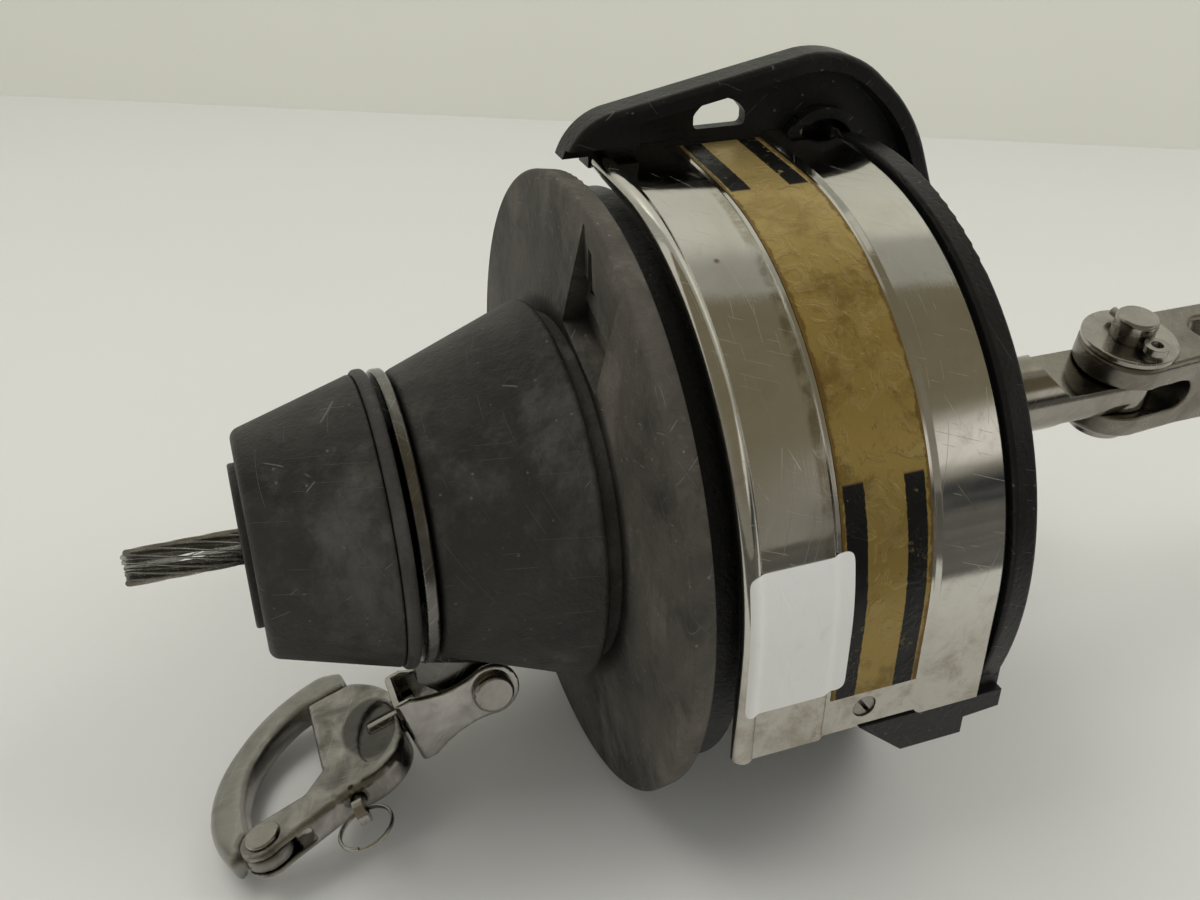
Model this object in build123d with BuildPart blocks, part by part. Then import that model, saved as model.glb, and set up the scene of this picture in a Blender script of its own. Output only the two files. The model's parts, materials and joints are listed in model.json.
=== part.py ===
import os
from math import atan2, cos, degrees, pi, radians, sin, sqrt

from build123d import *

# Roller furler lying on a table. Lengths are millimetres.
# X is the spin axis, from the stay wire (-X) to the deck toggle (+X). Z is up.
# The origin is on the spin axis, where the wire leaves the front bush.

# Stay wire and its swaged terminal
wire_dia = 8.0
wire_swaged_dia = 7.0
wire_chamfer = 0.3
wire_show = 24.0
wire_grip = 26.0
terminal_dia = 18.0
terminal_start = 6.0
terminal_end = 28.0

# Front bush, small cone and spacer ring
bush_dia = 35.8
bush_thick = 1.6
small_cone_end = 28.6
small_cone_front_r = 24.6
small_cone_rear_r = 32.8
cone_wall = 3.5
cone_edge_round = 2.6
spacer_end = 31.6
spacer_r = 33.5

# Terminal body and tack swivel seat
neck_r = 15.0
tack_seat_r = 17.0
tack_bush_r = 20.0
tack_ring_r = 33.0
tack_ring_start = 32.7
tack_ring_thick = 2.7
hub_r = 25.0
hub_split = 46.0
nut_room_start = 33.0
nut_room_r = 16.0

# Big cone
big_cone_start = 35.9
big_cone_end = 68.3
big_cone_front_r = 31.8
big_cone_rear_r = 44.0
cone_register = 4.0
boss_r = 40.1

# Drum
flange_front = 73.7
flange_rear = 79.0
flange_over = 0.5
flange_taper = 0.8
flange_root = 71.8
boss_start = 64.9
hub_end = 88.0
core_r = 32.0
core_waist_depth = 1.6
core_end = 134.0
lower_flange_gap = 0.8
lower_flange_thick = 4.0
skirt_end = 87.5
skirt_wall = 3.5
skirt_gap = 1.2
drum_screw_circle = 28.5
drum_screw_dia = 4.0
drum_screw_head_dia = 7.0
drum_screw_count = 4

# Rope pocket in the drum flange, along its own ray from the axis
pocket_angle = 70.0
pocket_inner = 41.5
pocket_outer = 67.5
pocket_left = 11.5
pocket_right = 10.2
pocket_ramp_end = 54.0
pocket_ramp_depth = 1.7
pocket_step = 0.95
pocket_tread = 6.8
pocket_well_depth = 4.3
pocket_well_width = 5.6
slot_inner = 50.4
slot_outer = 63.2
slot_left = 9.7
slot_wide = 3.2
slot_narrow = 1.9

# Stem, nut and bearings
stem_dia = 20.0
stem_thread_dia = 18.0
stem_start = 42.0
nut_across = 26.0
nut_thick = 8.8
bearing_outer_dia = 42.0
bearing_width = 12.0
race_thick = 3.1
ball_dia = 6.2
ball_count = 9
upper_bearing = 52.0
lower_bearing = 112.0
seal_start = 127.0
seal_thick = 5.0

# Lower cage, which the cover is fastened to
cage_front = 139.6
cage_rim_start = 141.6
cage_rim_end = 147.0
cage_over = 1.4
cage_hub_r = 17.0
cage_hub_end = 172.0
cage_web_end = 144.6
rib_count = 8
rib_thick = 3.0
rib_top = 160.0
foot_half_width = 20.0

# Line guide fin on the cage. Its heights are counted from the cover's radius
fin_near_y = 11.0
fin_far_y = 19.5
fin_web_thick = 3.0
fin_edge_round = 1.3
fin_start = 77.8
fin_tip_rise = 1.0
fin_nose_x = 81.2
fin_nose_rise = 6.4
fin_top_left = 87.7
fin_top_left_rise = 10.1
fin_top_right = 133.0
fin_top_right_rise = 18.7
fin_crown_x = 143.0
fin_crown_rise = 17.8
fin_shoulder_x = 153.1
fin_shoulder_rise = 11.8
fin_heel_x = 160.2
fin_heel_rise = 4.6
fin_right = 166.4
fin_right_drop = 6.5
fin_end_x = 170.0
fin_end_drop = 16.0
fin_rim = 3.9
fin_block_end = 94.3
fin_under_rise = 2.9
fin_under_depth = 2.4
fin_boss_x = 139.6
fin_boss_drop = 4.3
fin_boss_r = 10.6
fin_boss_wall = 2.4
fin_boss_step = 1.6
guide_slot_x = 115.2
guide_slot_rise = 3.4
guide_slot_width = 12.4
guide_slot_height = 6.4

# Cover band
cover_start = 84.0
cover_end = 140.4
cover_r = 70.8
cover_thick = 1.2
cover_bead_r = 2.2
cover_bead_sink = 1.3
channel_start = 104.0
channel_end = 125.4
channel_depth = 0.9
cover_bend = 85.5
cover_reach = 23.2
cover_drop = 25.4

# Arm that takes the lower end of the cover, with its screw
arm_start = 103.5
arm_thick = 2.4
arm_below = 9.8
arm_gusset_start = 112.5
arm_gusset_low = 123.5
screw_x = 113.3
screw_above = 5.1
screw_dia = 5.0
screw_head_dia = 8.6
screw_boss_dia = 11.0
screw_length = 11.0

arm_top_z = -6.0
arm_root_depth = 10.7
fin_screw_gap = 0.4
fin_screw_right = 134.0
fin_screw_reach = 20.6
fin_screw_dia = 2.6
fin_screw_grip = 3.0
fin_head_dia = 4.6
fin_head_height = 1.5

# Toggle and its clevis pin
toggle_roll = 10.0
toggle_pin_x = 228.2
toggle_pin_dia = 11.0
tongue_thick = 8.6
tongue_start = 199.0
fork_gap = 9.4
toggle_width = 22.6
toggle_height = 23.0
fork_depth = 16.0
toggle_pitch = 44.0
washer_dia = 25.0
washer_thick = 1.8
pin_proud = 6.5
pin_head_thick = 3.5
pin_head_dia = 16.0
cotter_dia = 2.4
cotter_eye_r = 3.2

# Tack ring lug, jaw and snap shackle
tack_roll = 9.0
lug_thick = 8.0
lug_boss_r = 6.0
tack_pin_x = 49.5
tack_pin_drop = 46.0
tack_pin_dia = 7.0
tack_pin_head_dia = 9.8
tack_pin_head_thick = 2.2
jaw_slope = 18.0
jaw_length = 21.8
jaw_width = 14.0
jaw_plate = 1.6
jaw_height = 17.0
jaw_boss_r = 6.6
stud_dia = 6.0
stud_head_dia = 9.0
stud_head_thick = 2.4
stud_grip = 8.0

# Snap shackle: u runs away from the jaw, v runs toward the near side
body_thick = 7.0
body_start = 0.4
body_neck = 8.5
dish_depth = 1.2
bar_u = 20.8
bar_far = 20.4
bar_near = 19.0
plunger_u = 15.0
rivet_u = 36.3
rivet_v = 19.0
rivet_dia = 5.0
rivet_head_dia = 8.0
rivet_head_thick = 0.8
cheek_r = 6.0
cheek_thick = 2.0
bail_thick = 6.6
bail_eye_thick = 3.4
bail_round = 1.8
bail_nose_u = 48.6
bail_nose_v = 3.0
bail_bend_u = 39.6
bail_bend_v = -18.4
bail_tip_v = -31.0
bail_width = 8.4
plunger_dia = 3.0
plunger_throw = 4.0
plunger_tip_v = -24.4
plunger_bore_dia = 4.4
plunger_collar_dia = 4.2
notch_reach = 8.0
spring_room = 22.0
spring_wire = 0.5
spring_turns = 8
knob_r = 2.9
knob_v = 23.4
knob_thick = 2.4
ring_r = 5.8
ring_wire = 1.5

# Named clearances
run_gap = 0.05
side_gap = 0.4
seat_clear = 0.1

# Radii and heights that follow from the sizes above
cover_in = cover_r - cover_thick
fin_screw_left = cover_start + 2 * cover_bead_r + fin_screw_gap + fin_head_dia / 2
channel_in = cover_in - channel_depth
flange_front_r = cover_r + flange_over
flange_rear_r = flange_front_r - flange_taper
table_z = -flange_front_r
cage_r = cover_r + cage_over
arm_in = channel_in - arm_thick
lower_flange_r = arm_in - lower_flange_gap
skirt_r = cover_r - cover_bead_sink - cover_bead_r - skirt_gap
screw_z = screw_above - cover_drop
arm_foot_z = -cover_drop - arm_below

os.makedirs("parts", exist_ok=True)


def save(part, label):
    part.label = label
    export_step(part, f"parts/{label}.step")
    print(label, len(part.solids()), round(part.volume, 1))


# Stay wire, a plain rod of the wire's outer size, pressed thinner inside the unit
with BuildPart() as stay_wire:
    with BuildSketch(Plane.YZ.offset(-wire_show)):
        Circle(wire_dia / 2)
    extrude(amount=wire_show)
    with BuildSketch(Plane.YZ):
        Circle(wire_swaged_dia / 2)
    extrude(amount=wire_grip)
    chamfer(stay_wire.edges().group_by(Axis.X)[0], wire_chamfer)
save(stay_wire.part, "stay_wire")

# Swaged terminal inside the terminal body
with BuildPart() as wire_terminal:
    with BuildSketch(Plane.YZ.offset(terminal_start)):
        Circle(terminal_dia / 2)
        Circle(wire_swaged_dia / 2, mode=Mode.SUBTRACT)
    extrude(amount=terminal_end - terminal_start)
    outer_edges = wire_terminal.edges().filter_by(GeomType.CIRCLE).sort_by(SortBy.RADIUS)[-2:]
    chamfer(outer_edges, 1.0)
save(wire_terminal.part, "wire_terminal")

# Front bush that closes the small cone
with BuildPart() as front_bush:
    with BuildSketch(Plane.YZ):
        Circle(bush_dia / 2)
        Circle(wire_dia / 2 + run_gap, mode=Mode.SUBTRACT)
    extrude(amount=bush_thick)
    fillet(front_bush.edges().group_by(Axis.X)[0].sort_by(SortBy.RADIUS)[-1], 0.6)
save(front_bush.part, "front_bush")


def cone_slope(start, end, front_r, rear_r):
    return (rear_r - front_r) / (end - start)


# Small cone: an outer wall, a front wall and a sleeve on the neck
small_slope = cone_slope(bush_thick, small_cone_end, small_cone_front_r, small_cone_rear_r)
with BuildPart() as small_cone:
    with BuildSketch(Plane.XY):
        with BuildLine():
            Polyline(
                (bush_thick, neck_r),
                (bush_thick, small_cone_front_r),
                (small_cone_end, small_cone_rear_r),
                (small_cone_end, small_cone_rear_r - cone_wall),
                (bush_thick + cone_wall, small_cone_front_r - cone_wall + small_slope * cone_wall),
                (bush_thick + cone_wall, neck_r + cone_wall),
                (small_cone_end, neck_r + cone_wall),
                (small_cone_end, neck_r),
                close=True,
            )
        make_face()
    revolve(axis=Axis.X)
    rims = small_cone.edges().filter_by(GeomType.CIRCLE).sort_by(SortBy.RADIUS)
    fillet(rims[-1], 0.8)
    front_rim = small_cone.edges().group_by(Axis.X)[0].sort_by(SortBy.RADIUS)[-1]
    fillet(front_rim, cone_edge_round)
save(small_cone.part, "small_cone")

# Spacer ring between the small cone and the tack swivel
with BuildPart() as spacer_ring:
    with BuildSketch(Plane.YZ.offset(small_cone_end)):
        Circle(spacer_r)
        Circle(neck_r, mode=Mode.SUBTRACT)
    extrude(amount=spacer_end - small_cone_end)
    fillet(spacer_ring.edges().filter_by(GeomType.CIRCLE).sort_by(SortBy.RADIUS)[-2:], 1.2)
save(spacer_ring.part, "spacer_ring")

# Terminal body: neck, tack seat and the flange that is screwed to the bearing hub
cone_shoulder = big_cone_start + cone_wall
with BuildPart() as terminal_body:
    with BuildSketch(Plane.XY):
        with BuildLine():
            Polyline(
                (bush_thick, wire_dia / 2 + run_gap),
                (bush_thick, neck_r),
                (spacer_end, neck_r),
                (spacer_end, tack_seat_r),
                (cone_shoulder, tack_seat_r),
                (cone_shoulder, hub_r),
                (hub_split, hub_r),
                (hub_split, nut_room_r),
                (nut_room_start, nut_room_r),
                (nut_room_start, terminal_dia / 2),
                (terminal_start, terminal_dia / 2),
                (terminal_start, wire_dia / 2 + run_gap),
                close=True,
            )
        make_face()
    revolve(axis=Axis.X)
save(terminal_body.part, "terminal_body")

# Big cone: outer wall, front wall on the terminal body, register on the drum boss
big_slope = cone_slope(big_cone_start, big_cone_end, big_cone_front_r, big_cone_rear_r)
register_start = big_cone_end - cone_register
with BuildPart() as big_cone:
    with BuildSketch(Plane.XY):
        with BuildLine():
            Polyline(
                (big_cone_start, tack_seat_r),
                (big_cone_start, big_cone_front_r),
                (big_cone_end, big_cone_rear_r),
                (big_cone_end, boss_r + run_gap),
                (register_start, boss_r + run_gap),
                (register_start, boss_r - 1.5),
                (cone_shoulder, big_cone_front_r - cone_wall + big_slope * cone_wall),
                (cone_shoulder, tack_seat_r),
                close=True,
            )
        make_face()
    revolve(axis=Axis.X)
    front_rim = big_cone.edges().group_by(Axis.X)[0].sort_by(SortBy.RADIUS)[-1]
    fillet(front_rim, cone_edge_round)
    rear_rim = big_cone.edges().group_by(Axis.X)[-1].sort_by(SortBy.RADIUS)[-1]
    fillet(rear_rim, 1.2)
save(big_cone.part, "big_cone")

# Bearing hub: seat for the upper bearing and the tail that the drum core sits on
hub_bore_r = bearing_outer_dia / 2
with BuildPart() as bearing_hub:
    with BuildSketch(Plane.XY):
        with BuildLine():
            Polyline(
                (hub_split, hub_bore_r),
                (hub_split, hub_r),
                (hub_end, hub_r),
                (hub_end, hub_bore_r - race_thick),
                (upper_bearing + bearing_width, hub_bore_r - race_thick),
                (upper_bearing + bearing_width, hub_bore_r),
                close=True,
            )
        make_face()
    revolve(axis=Axis.X)
save(bearing_hub.part, "bearing_hub")

# Drum flange with its skirt, the stepped rope pocket and the slot for the rope's tail.
# In the pocket's plane local X runs outward along the ray and local Y runs into the flange.
pocket_turn = radians(pocket_angle)
pocket_out = (0, -cos(pocket_turn), sin(pocket_turn))
pocket_across = (0, sin(pocket_turn), cos(pocket_turn))
pocket_side = Plane(origin=(flange_front, 0, 0), x_dir=pocket_out, z_dir=pocket_across)
pocket_front = Plane(origin=(flange_root - 1, 0, 0), x_dir=pocket_out, z_dir=(-1, 0, 0))
above_face = flange_root - flange_front - 1
screw_ring = PolarLocations(drum_screw_circle, drum_screw_count, start_angle=45)
with BuildPart() as drum_flange:
    with BuildSketch(Plane.XY):
        with BuildLine():
            Polyline(
                (boss_start, hub_r),
                (boss_start, boss_r),
                (flange_root, boss_r),
                (flange_root, big_cone_rear_r),
                (flange_front, flange_front_r),
                (flange_rear, flange_rear_r),
                (flange_rear, skirt_r),
                (skirt_end, skirt_r),
                (skirt_end, skirt_r - skirt_wall),
                (flange_rear, skirt_r - skirt_wall),
                (flange_rear, hub_r),
                close=True,
            )
        make_face()
    revolve(axis=Axis.X)
    rim_edges = drum_flange.edges().filter_by(GeomType.CIRCLE).sort_by(SortBy.RADIUS)[-2:]
    fillet(rim_edges, 0.9)
    # The floor ramps down from the rim side and then drops tread by tread toward the boss
    with BuildSketch(pocket_side.offset(-pocket_right)):
        with BuildLine():
            Polyline(
                (pocket_inner, above_face),
                (pocket_outer, above_face),
                (pocket_outer, 0),
                (pocket_ramp_end, pocket_ramp_depth),
                (pocket_ramp_end, pocket_ramp_depth + pocket_step),
                (pocket_ramp_end - pocket_tread, pocket_ramp_depth + pocket_step),
                (pocket_ramp_end - pocket_tread, pocket_ramp_depth + 2 * pocket_step),
                (pocket_inner, pocket_ramp_depth + 2 * pocket_step),
                close=True,
            )
        make_face()
    extrude(amount=pocket_left + pocket_right, mode=Mode.SUBTRACT)
    # Deeper well along the lower wall, past the ends of the treads
    with BuildSketch(pocket_side.offset(-pocket_right)):
        with BuildLine():
            Polyline(
                (pocket_inner, above_face),
                (pocket_ramp_end, above_face),
                (pocket_ramp_end, pocket_ramp_depth + pocket_step),
                (pocket_ramp_end - pocket_tread / 2, pocket_well_depth),
                (pocket_inner, pocket_well_depth),
                close=True,
            )
        make_face()
    extrude(amount=pocket_well_width, mode=Mode.SUBTRACT)
    # Tapered slot beside the upper wall; on this plane local Y is toward that wall
    with BuildSketch(pocket_front):
        with BuildLine():
            Polyline(
                (slot_inner, slot_left),
                (slot_inner + slot_wide / 2, slot_left - slot_wide),
                (slot_outer, slot_left - slot_wide / 2 - slot_narrow / 2),
                (slot_outer, slot_left - slot_wide / 2 + slot_narrow / 2),
                close=True,
            )
        make_face()
    extrude(amount=-(flange_rear - flange_root + 2), mode=Mode.SUBTRACT)
    with BuildSketch(Plane.YZ.offset(flange_rear)):
        with screw_ring:
            Circle(drum_screw_dia / 2)
    extrude(amount=-5.0, mode=Mode.SUBTRACT)
save(drum_flange.part, "drum_flange")

# Drum core that the line winds on
core_waist = core_r - core_waist_depth
core_length = core_end - flange_rear
with BuildPart() as drum_core:
    with BuildSketch(Plane.XY):
        with BuildLine():
            Line((flange_rear, hub_r), (flange_rear, core_r))
            ThreePointArc(
                (flange_rear, core_r),
                (flange_rear + core_length / 2, core_waist),
                (core_end, core_r),
            )
            Polyline(
                (core_end, core_r),
                (core_end, hub_bore_r),
                (lower_bearing, hub_bore_r),
                (lower_bearing, hub_bore_r - race_thick),
                (hub_end, hub_bore_r - race_thick),
                (hub_end, hub_r),
                (flange_rear, hub_r),
            )
        make_face()
    revolve(axis=Axis.X)
    with BuildSketch(Plane.YZ.offset(flange_rear)):
        with screw_ring:
            Circle(drum_screw_dia / 2)
    extrude(amount=core_length, mode=Mode.SUBTRACT)
save(drum_core.part, "drum_core")

# Lower drum flange with its screw pockets and lightening holes
drum_end = core_end + lower_flange_thick
head_depth = lower_flange_thick - 0.8
with BuildPart() as drum_lower_flange:
    with BuildSketch(Plane.YZ.offset(core_end)):
        Circle(lower_flange_r)
        Circle(hub_bore_r, mode=Mode.SUBTRACT)
        with screw_ring:
            Circle(drum_screw_dia / 2, mode=Mode.SUBTRACT)
        with PolarLocations(48.0, 8):
            Circle(6.0, mode=Mode.SUBTRACT)
    extrude(amount=lower_flange_thick)
    with BuildSketch(Plane.YZ.offset(drum_end)):
        with screw_ring:
            Circle(drum_screw_head_dia / 2 + run_gap)
    extrude(amount=-head_depth, mode=Mode.SUBTRACT)
    fillet(drum_lower_flange.edges().filter_by(GeomType.CIRCLE).sort_by(SortBy.RADIUS)[-2:], 1.0)
save(drum_lower_flange.part, "drum_lower_flange")

# Four long screws that hold the drum together
screw_tip = flange_rear - 4.5
with BuildPart() as drum_screws:
    with BuildSketch(Plane.YZ.offset(screw_tip)):
        with screw_ring:
            Circle(drum_screw_dia / 2)
    extrude(amount=drum_end - head_depth - screw_tip)
    with BuildSketch(Plane.YZ.offset(drum_end - head_depth)):
        with screw_ring:
            Circle(drum_screw_head_dia / 2)
    extrude(amount=head_depth - 0.4)
save(drum_screws.part, "drum_screws")

# Ball bearings: outer race, inner race and balls, each bearing its own three nodes
ball_pitch_r = (stem_dia / 2 + hub_bore_r) / 2
inner_race_r = stem_dia / 2 + race_thick
outer_race_r = hub_bore_r - race_thick


def ball_track(track):
    # Torus that the balls run in, cut from both races
    with BuildPart(mode=Mode.PRIVATE) as groove:
        with BuildSketch(Plane.XY):
            with Locations((track, ball_pitch_r)):
                Circle(ball_dia / 2 + run_gap)
        revolve(axis=Axis.X)
    return groove.part


def bearing(start, name):
    middle = start + bearing_width / 2
    with BuildPart() as outer_race:
        with BuildSketch(Plane.YZ.offset(start)):
            Circle(hub_bore_r)
            Circle(outer_race_r, mode=Mode.SUBTRACT)
        extrude(amount=bearing_width)
        add(ball_track(middle), mode=Mode.SUBTRACT)
    save(outer_race.part, f"{name}_outer_race")
    with BuildPart() as inner_race:
        with BuildSketch(Plane.YZ.offset(start)):
            Circle(inner_race_r)
            Circle(stem_dia / 2, mode=Mode.SUBTRACT)
        extrude(amount=bearing_width)
        add(ball_track(middle), mode=Mode.SUBTRACT)
    save(inner_race.part, f"{name}_inner_race")
    with BuildPart() as balls:
        with Locations(Plane.YZ.offset(middle)):
            with PolarLocations(ball_pitch_r, ball_count):
                Sphere(ball_dia / 2)
    save(balls.part, f"{name}_balls")


bearing(upper_bearing, "upper_bearing")
bearing(lower_bearing, "lower_bearing")

# Spacer sleeves on the stem and the lip seal below the lower bearing
sleeve_r = stem_dia / 2 + 2.5
with BuildPart() as bearing_spacer:
    with BuildSketch(Plane.YZ.offset(upper_bearing + bearing_width)):
        Circle(sleeve_r)
        Circle(stem_dia / 2, mode=Mode.SUBTRACT)
    extrude(amount=lower_bearing - upper_bearing - bearing_width)
save(bearing_spacer.part, "bearing_spacer")

with BuildPart() as lower_spacer:
    with BuildSketch(Plane.YZ.offset(lower_bearing + bearing_width)):
        Circle(sleeve_r)
        Circle(stem_dia / 2, mode=Mode.SUBTRACT)
    extrude(amount=cage_front - lower_bearing - bearing_width)
save(lower_spacer.part, "lower_spacer")

with BuildPart() as lip_seal:
    with BuildSketch(Plane.YZ.offset(seal_start)):
        Circle(hub_bore_r)
        Circle(sleeve_r + 0.1, mode=Mode.SUBTRACT)
    extrude(amount=seal_thick)
save(lip_seal.part, "lip_seal")

# Nut on the stem's upper end, which carries the whole load
with BuildPart() as stem_nut:
    with BuildSketch(Plane.YZ.offset(upper_bearing - nut_thick)):
        RegularPolygon(nut_across / 2, 6, major_radius=False)
        Circle(stem_thread_dia / 2, mode=Mode.SUBTRACT)
    extrude(amount=nut_thick)
save(stem_nut.part, "stem_nut")

# Rolled frame of the tongue and the toggle: local Z is the clevis pin's axis
roll = radians(toggle_roll)
pin_axis = (0, -sin(roll), cos(roll))
pin_plane = Plane(origin=(toggle_pin_x, 0, 0), x_dir=(1, 0, 0), z_dir=pin_axis)
side_plane = Plane(origin=(toggle_pin_x, 0, 0), x_dir=(1, 0, 0), z_dir=(0, -cos(roll), -sin(roll)))

# Stem: threaded end, round bar and the flat tongue with its eye
stem_r = stem_dia / 2
circlip_start = cage_hub_end
circlip_thick = 1.8
circlip_depth = 1.0
with BuildPart() as stem:
    with BuildSketch(Plane.YZ.offset(stem_start)):
        Circle(stem_thread_dia / 2)
    extrude(amount=upper_bearing - stem_start)
    with BuildSketch(Plane.YZ.offset(upper_bearing)):
        Circle(stem_r)
    extrude(amount=toggle_pin_x - upper_bearing)
    with BuildSketch(pin_plane.offset(-stem_r)):
        Circle(stem_r)
    extrude(amount=stem_dia)
    # Both flats start with a slope out of the round bar
    for side in (1, -1):
        with BuildSketch(side_plane.offset(-stem_dia)):
            with BuildLine():
                Polyline(
                    (tongue_start - toggle_pin_x, side * (stem_r + 1)),
                    (tongue_start - toggle_pin_x + 7, side * tongue_thick / 2),
                    (stem_dia, side * tongue_thick / 2),
                    (stem_dia, side * (stem_r + 1)),
                    close=True,
                )
            make_face()
        extrude(amount=2 * stem_dia, mode=Mode.SUBTRACT)
    with BuildSketch(pin_plane.offset(-stem_dia)):
        Circle(toggle_pin_dia / 2 + run_gap)
    extrude(amount=2 * stem_dia, mode=Mode.SUBTRACT)
    with BuildSketch(Plane.YZ.offset(circlip_start)):
        Circle(stem_r + 1)
        Circle(stem_r - circlip_depth, mode=Mode.SUBTRACT)
    extrude(amount=circlip_thick, mode=Mode.SUBTRACT)
    chamfer(stem.edges().group_by(Axis.X)[0], 1.0)
save(stem.part, "stem")

# Circlip behind the cage's hub
with BuildPart() as stem_circlip:
    with BuildSketch(Plane.YZ.offset(circlip_start)):
        Circle(stem_r + 3)
        Circle(stem_r - circlip_depth, mode=Mode.SUBTRACT)
        with Locations((0, -stem_r)):
            Rectangle(stem_r / 2, stem_r, mode=Mode.SUBTRACT)
    extrude(amount=circlip_thick)
save(stem_circlip.part, "stem_circlip")

# Cover band: rolled lip, two lands and a shallow channel between them.
# The profile has the axis along local X and the radius along local Y.
bead_x = cover_start + cover_bead_r
bead_height = cover_r - cover_bead_sink
bend_turn = radians(cover_bend)
bend_out = (0, -cos(bend_turn), sin(bend_turn))
bend_along = (0, sin(bend_turn), cos(bend_turn))
front_plane = Plane(origin=(0, 0, 0), x_dir=(1, 0, 0), z_dir=(0, 0, -1))
reach_plane = Plane(origin=(0, 0, 0), x_dir=(1, 0, 0), z_dir=(0, -sin(bend_turn), -cos(bend_turn)))
seat_plane = Plane(origin=(0, 0, 0), x_dir=(1, 0, 0), z_dir=bend_out)
turn_axis = Axis((0, 0, 0), (-1, 0, 0))
fin_screws = Locations((fin_screw_left, fin_screw_reach), (fin_screw_right, fin_screw_reach))

with BuildSketch() as band_profile:
    with BuildLine():
        Polyline(
            (bead_x, cover_in),
            (bead_x, cover_r),
            (channel_start - channel_depth, cover_r),
            (channel_start, cover_r - channel_depth),
            (channel_end, cover_r - channel_depth),
            (channel_end + channel_depth, cover_r),
            (cover_end, cover_r),
            (cover_end, cover_in),
            (channel_end + channel_depth, cover_in),
            (channel_end, channel_in),
            (channel_start, channel_in),
            (channel_start - channel_depth, cover_in),
            close=True,
        )
    make_face()
    with Locations((bead_x, bead_height)):
        Circle(cover_bead_r)

# Outside shape of the cover, filled inward, which is cut from the cage
with BuildSketch() as room_profile:
    with BuildLine():
        Polyline(
            (bead_x, cover_in - 3),
            (bead_x, cover_r),
            (channel_start - channel_depth, cover_r),
            (channel_start, cover_r - channel_depth),
            (channel_end, cover_r - channel_depth),
            (channel_end + channel_depth, cover_r),
            (cover_end, cover_r),
            (cover_end, cover_in),
            (cage_front, cover_in),
            (cage_front, cover_in - 3),
            close=True,
        )
    make_face()
    with Locations((bead_x, bead_height)):
        Circle(cover_bead_r + run_gap)

band_front = front_plane * band_profile.sketch
band_top = reach_plane * band_profile.sketch
room_front = front_plane * room_profile.sketch
room_top = reach_plane * room_profile.sketch

with BuildPart() as cover_band:
    revolve(band_front, axis=turn_axis, revolution_arc=cover_bend)
    extrude(band_front, amount=cover_drop)
    extrude(band_top, amount=-cover_reach)
    with BuildSketch(Plane.XZ.offset(cover_r - 6)):
        with Locations((screw_x, screw_z)):
            Circle(screw_dia / 2 + seat_clear)
    extrude(amount=12, mode=Mode.SUBTRACT)
    # Two holes under the fin for the screws that hold the upper end
    with BuildSketch(seat_plane.offset(cover_r - 6)):
        with fin_screws:
            Circle(fin_screw_dia / 2)
    extrude(amount=12, mode=Mode.SUBTRACT)
save(cover_band.part, "cover_band")

# Line guide fin, drawn with the axis along local X and the height along local Y
fin_low = cover_r - 1.5
with BuildSketch() as fin_outline:
    with BuildLine():
        ThreePointArc(
            (fin_start, cover_r + fin_tip_rise),
            (fin_nose_x, cover_r + fin_nose_rise),
            (fin_top_left, cover_r + fin_top_left_rise),
        )
        Line((fin_top_left, cover_r + fin_top_left_rise), (fin_top_right, cover_r + fin_top_right_rise))
        ThreePointArc(
            (fin_top_right, cover_r + fin_top_right_rise),
            (fin_crown_x, cover_r + fin_crown_rise),
            (fin_shoulder_x, cover_r + fin_shoulder_rise),
        )
        ThreePointArc(
            (fin_shoulder_x, cover_r + fin_shoulder_rise),
            (fin_heel_x, cover_r + fin_heel_rise),
            (fin_right, cover_r - fin_right_drop),
        )
        Polyline(
            (fin_right, cover_r - fin_right_drop),
            (fin_end_x, cover_r - fin_end_drop),
            (cage_hub_end - 4, stem_r + 2),
            (cage_rim_end - 4, stem_r + 2),
            (cage_rim_end - 4, cover_in - 4),
            (cover_end - 0.6, cover_in - 4),
            (cover_end - 0.6, fin_low),
            (cover_start - side_gap, fin_low),
            (cover_start - side_gap, cover_r + fin_tip_rise),
            (fin_start, cover_r + fin_tip_rise),
        )
    make_face()

# The recess follows the outline inside the rim and is open toward the cover
with BuildSketch() as fin_recess:
    add(fin_outline.sketch)
    offset(amount=-fin_rim)
    with Locations((fin_block_end, cover_r)):
        Rectangle(2 * fin_far_y, 4 * fin_far_y, align=(Align.MAX, Align.CENTER), mode=Mode.SUBTRACT)
    with Locations((fin_block_end, fin_low - 1)):
        Rectangle(cover_end - fin_block_end, 2 * fin_rim, align=(Align.MIN, Align.MIN))

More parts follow.
